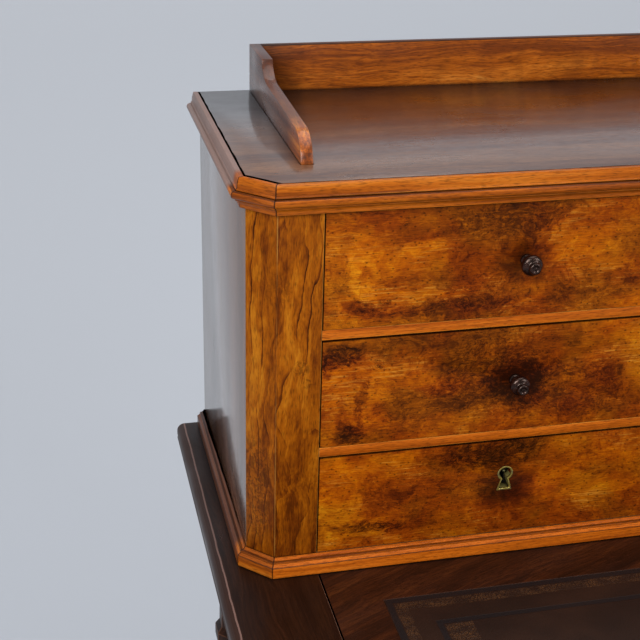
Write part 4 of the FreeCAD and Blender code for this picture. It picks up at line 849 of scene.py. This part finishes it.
brass = old_metal("tarnished_cast_brass", ("ab964a", "d6c26c", "ebdd96"), 0.48)
iron = old_metal("dark_iron", ("201c19", "34302b", "4a453f"), 0.5)
for drawer in ("bottom_drawer_left", "bottom_drawer_right", "frieze_drawer"):
    worked(f"{drawer}_escutcheon", brass, arris=0.0003)
    worked(f"{drawer}_lock", iron, arris=0.0004)

# The pin of each lock, on which the key turns, stands in the round of the keyhole with a domed end.
# The key has kept it rubbed, so it is greyer and rougher than the rest of the lock.
pin_iron = old_metal("rubbed_iron_pin", ("3a3826", "4e4b34", "6a6647"), 0.62)
pin_profile = ((0, 1.6), (11, 1.6), (11.6, 1.376), (12, 0.8256))
keyhole_below_top = 0.0078
pin_depth = 0.0155
for drawer in ("bottom_drawer_left", "bottom_drawer_right", "frieze_drawer"):
    low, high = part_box(f"{drawer}_escutcheon")
    root = Vector(((low.x + high.x) / 2, low.y + pin_depth, high.z - keyhole_below_top))
    pin = turned(f"{drawer}_key_pin", pin_profile, root, 16, 50)
    pin.data.materials.append(pin_iron)
    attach(pin, body_of[f"{drawer}_lock"])

# Floor, backdrop, lights and camera: no part of the object. One pale grey sheet curves up behind the desk,
# under broad soft lamps, and the camera stands where the photographer stood.

wall_colour = "bbbfc6"
wall_distance = 1.7
wall_height = 4.0
wall_width = 12.0
floor_front = -5.0
sweep_radius = 0.9
fade_start = 1.3
fade_end = 3.0


def pale_paint(seen_by_eye, seen_in_gloss):
    """Pale matt paint that the eye and gloss see partly at one even tone, and not at all from behind.
    Away from the desk the eye sees the even tone alone, so that floor, wall and room run together."""
    material, add = new_finish("pale_matt_paint", 0.9)
    tree = material.node_tree
    shader = tree.nodes["Principled BSDF"]
    shader.inputs["Base Color"].default_value = linear(wall_colour)
    seen = add("LightPath", output="Is Camera Ray")
    mirrored = add("LightPath", output="Is Glossy Ray")
    away = add("VectorMath", add("TexCoord", output="Object"), operation="LENGTH")
    even = add("MapRange", away, fade_start, fade_end, seen_by_eye, 1.0, interpolation_type="SMOOTHSTEP")
    seen = add("Math", seen, even, operation="MULTIPLY")
    seen = add("Math", mirrored, seen_in_gloss, seen, operation="MULTIPLY_ADD")
    glow = add("Emission", linear(wall_colour), 1.0)
    both = add("MixShader", seen, shader.outputs[0], glow)
    behind = add("NewGeometry", output="Backfacing")
    both = add("MixShader", behind, both, add("BsdfTransparent"))
    tree.links.new(both, tree.nodes["Material Output"].inputs["Surface"])
    return material


bpy.ops.object.select_all(action="DESELECT")
bpy.ops.mesh.primitive_plane_add(size=1, location=(0, 0, 0))
sweep = bpy.context.object
sweep.name = "studio_sweep"
bpy.ops.object.mode_set(mode="EDIT")
depth = wall_distance - floor_front
bpy.ops.transform.resize(value=(wall_width, depth, 1))
bpy.ops.transform.translate(value=(0, (wall_distance + floor_front) / 2, 0))
form = bmesh.from_edit_mesh(sweep.data)
for edge in form.edges:
    edge.select_set(all(vert.co.y > wall_distance - 0.001 for vert in edge.verts))
form.select_flush(False)
bmesh.update_edit_mesh(sweep.data)
bpy.ops.mesh.extrude_region_move(TRANSFORM_OT_translate={"value": (0, 0, wall_height)})
bpy.ops.object.mode_set(mode="OBJECT")
curve = sweep.modifiers.new("sweep", "BEVEL")
curve.width = sweep_radius
curve.segments = 16
bpy.ops.object.modifier_apply(modifier=curve.name)
bpy.ops.object.shade_smooth()
sweep.data.materials.append(pale_paint(0.3, 0.85))

lamps = (
    ("left_lamp", (-1.7, -2.3, 2.6), (0, 0, 0.9), 1.8, 95),
    ("right_lamp", (2.2, -2.2, 2.4), (0, 0, 0.9), 1.4, 35),
    ("overhead_lamp", (0.2, 0.2, 3.2), (0, 0, 0.8), 2.2, 40),
)
for name, place, aim, width, power in lamps:
    light = bpy.data.lights.new(name, "AREA")
    light.size = width
    light.energy = power
    lamp = bpy.data.objects.new(name, light)
    bpy.context.collection.objects.link(lamp)
    lamp.location = place
    lamp.rotation_euler = (Vector(aim) - Vector(place)).to_track_quat("-Z", "Y").to_euler()

world = bpy.data.worlds.new("soft_room")
world.use_nodes = True
add = partial(add_node, world.node_tree)
room = world.node_tree.nodes["Background"]
room.inputs["Color"].default_value = linear("e4e8ef")
room.inputs["Strength"].default_value = 0.35
pale = add("Background", linear(wall_colour), 1.0)
shown = add("MixShader", add("LightPath", output="Is Camera Ray"), room.outputs[0], pale)
world.node_tree.links.new(shown, world.node_tree.nodes["World Output"].inputs["Surface"])
bpy.context.scene.world = world
bpy.context.scene.view_settings.view_transform = "Standard"

# The camera was fitted to the straight edges of the desk in the photograph.
camera_place = (-0.6271, -0.9631, 1.4882)
camera_turn = -13.523
camera_tilt = 90 - 24.852
camera_roll = 1.428
camera_data = bpy.data.cameras.new("camera")
camera_data.sensor_width = 36
camera_data.lens = 71.54
camera = bpy.data.objects.new("camera", camera_data)
bpy.context.collection.objects.link(camera)
aim = Matrix.Identity(3)
for angle, axis in ((camera_turn, "Z"), (camera_tilt, "X"), (camera_roll, "Z")):
    aim = aim @ Matrix.Rotation(math.radians(angle), 3, axis)
camera.location = camera_place
camera.rotation_euler = aim.to_euler()
bpy.context.scene.camera = camera
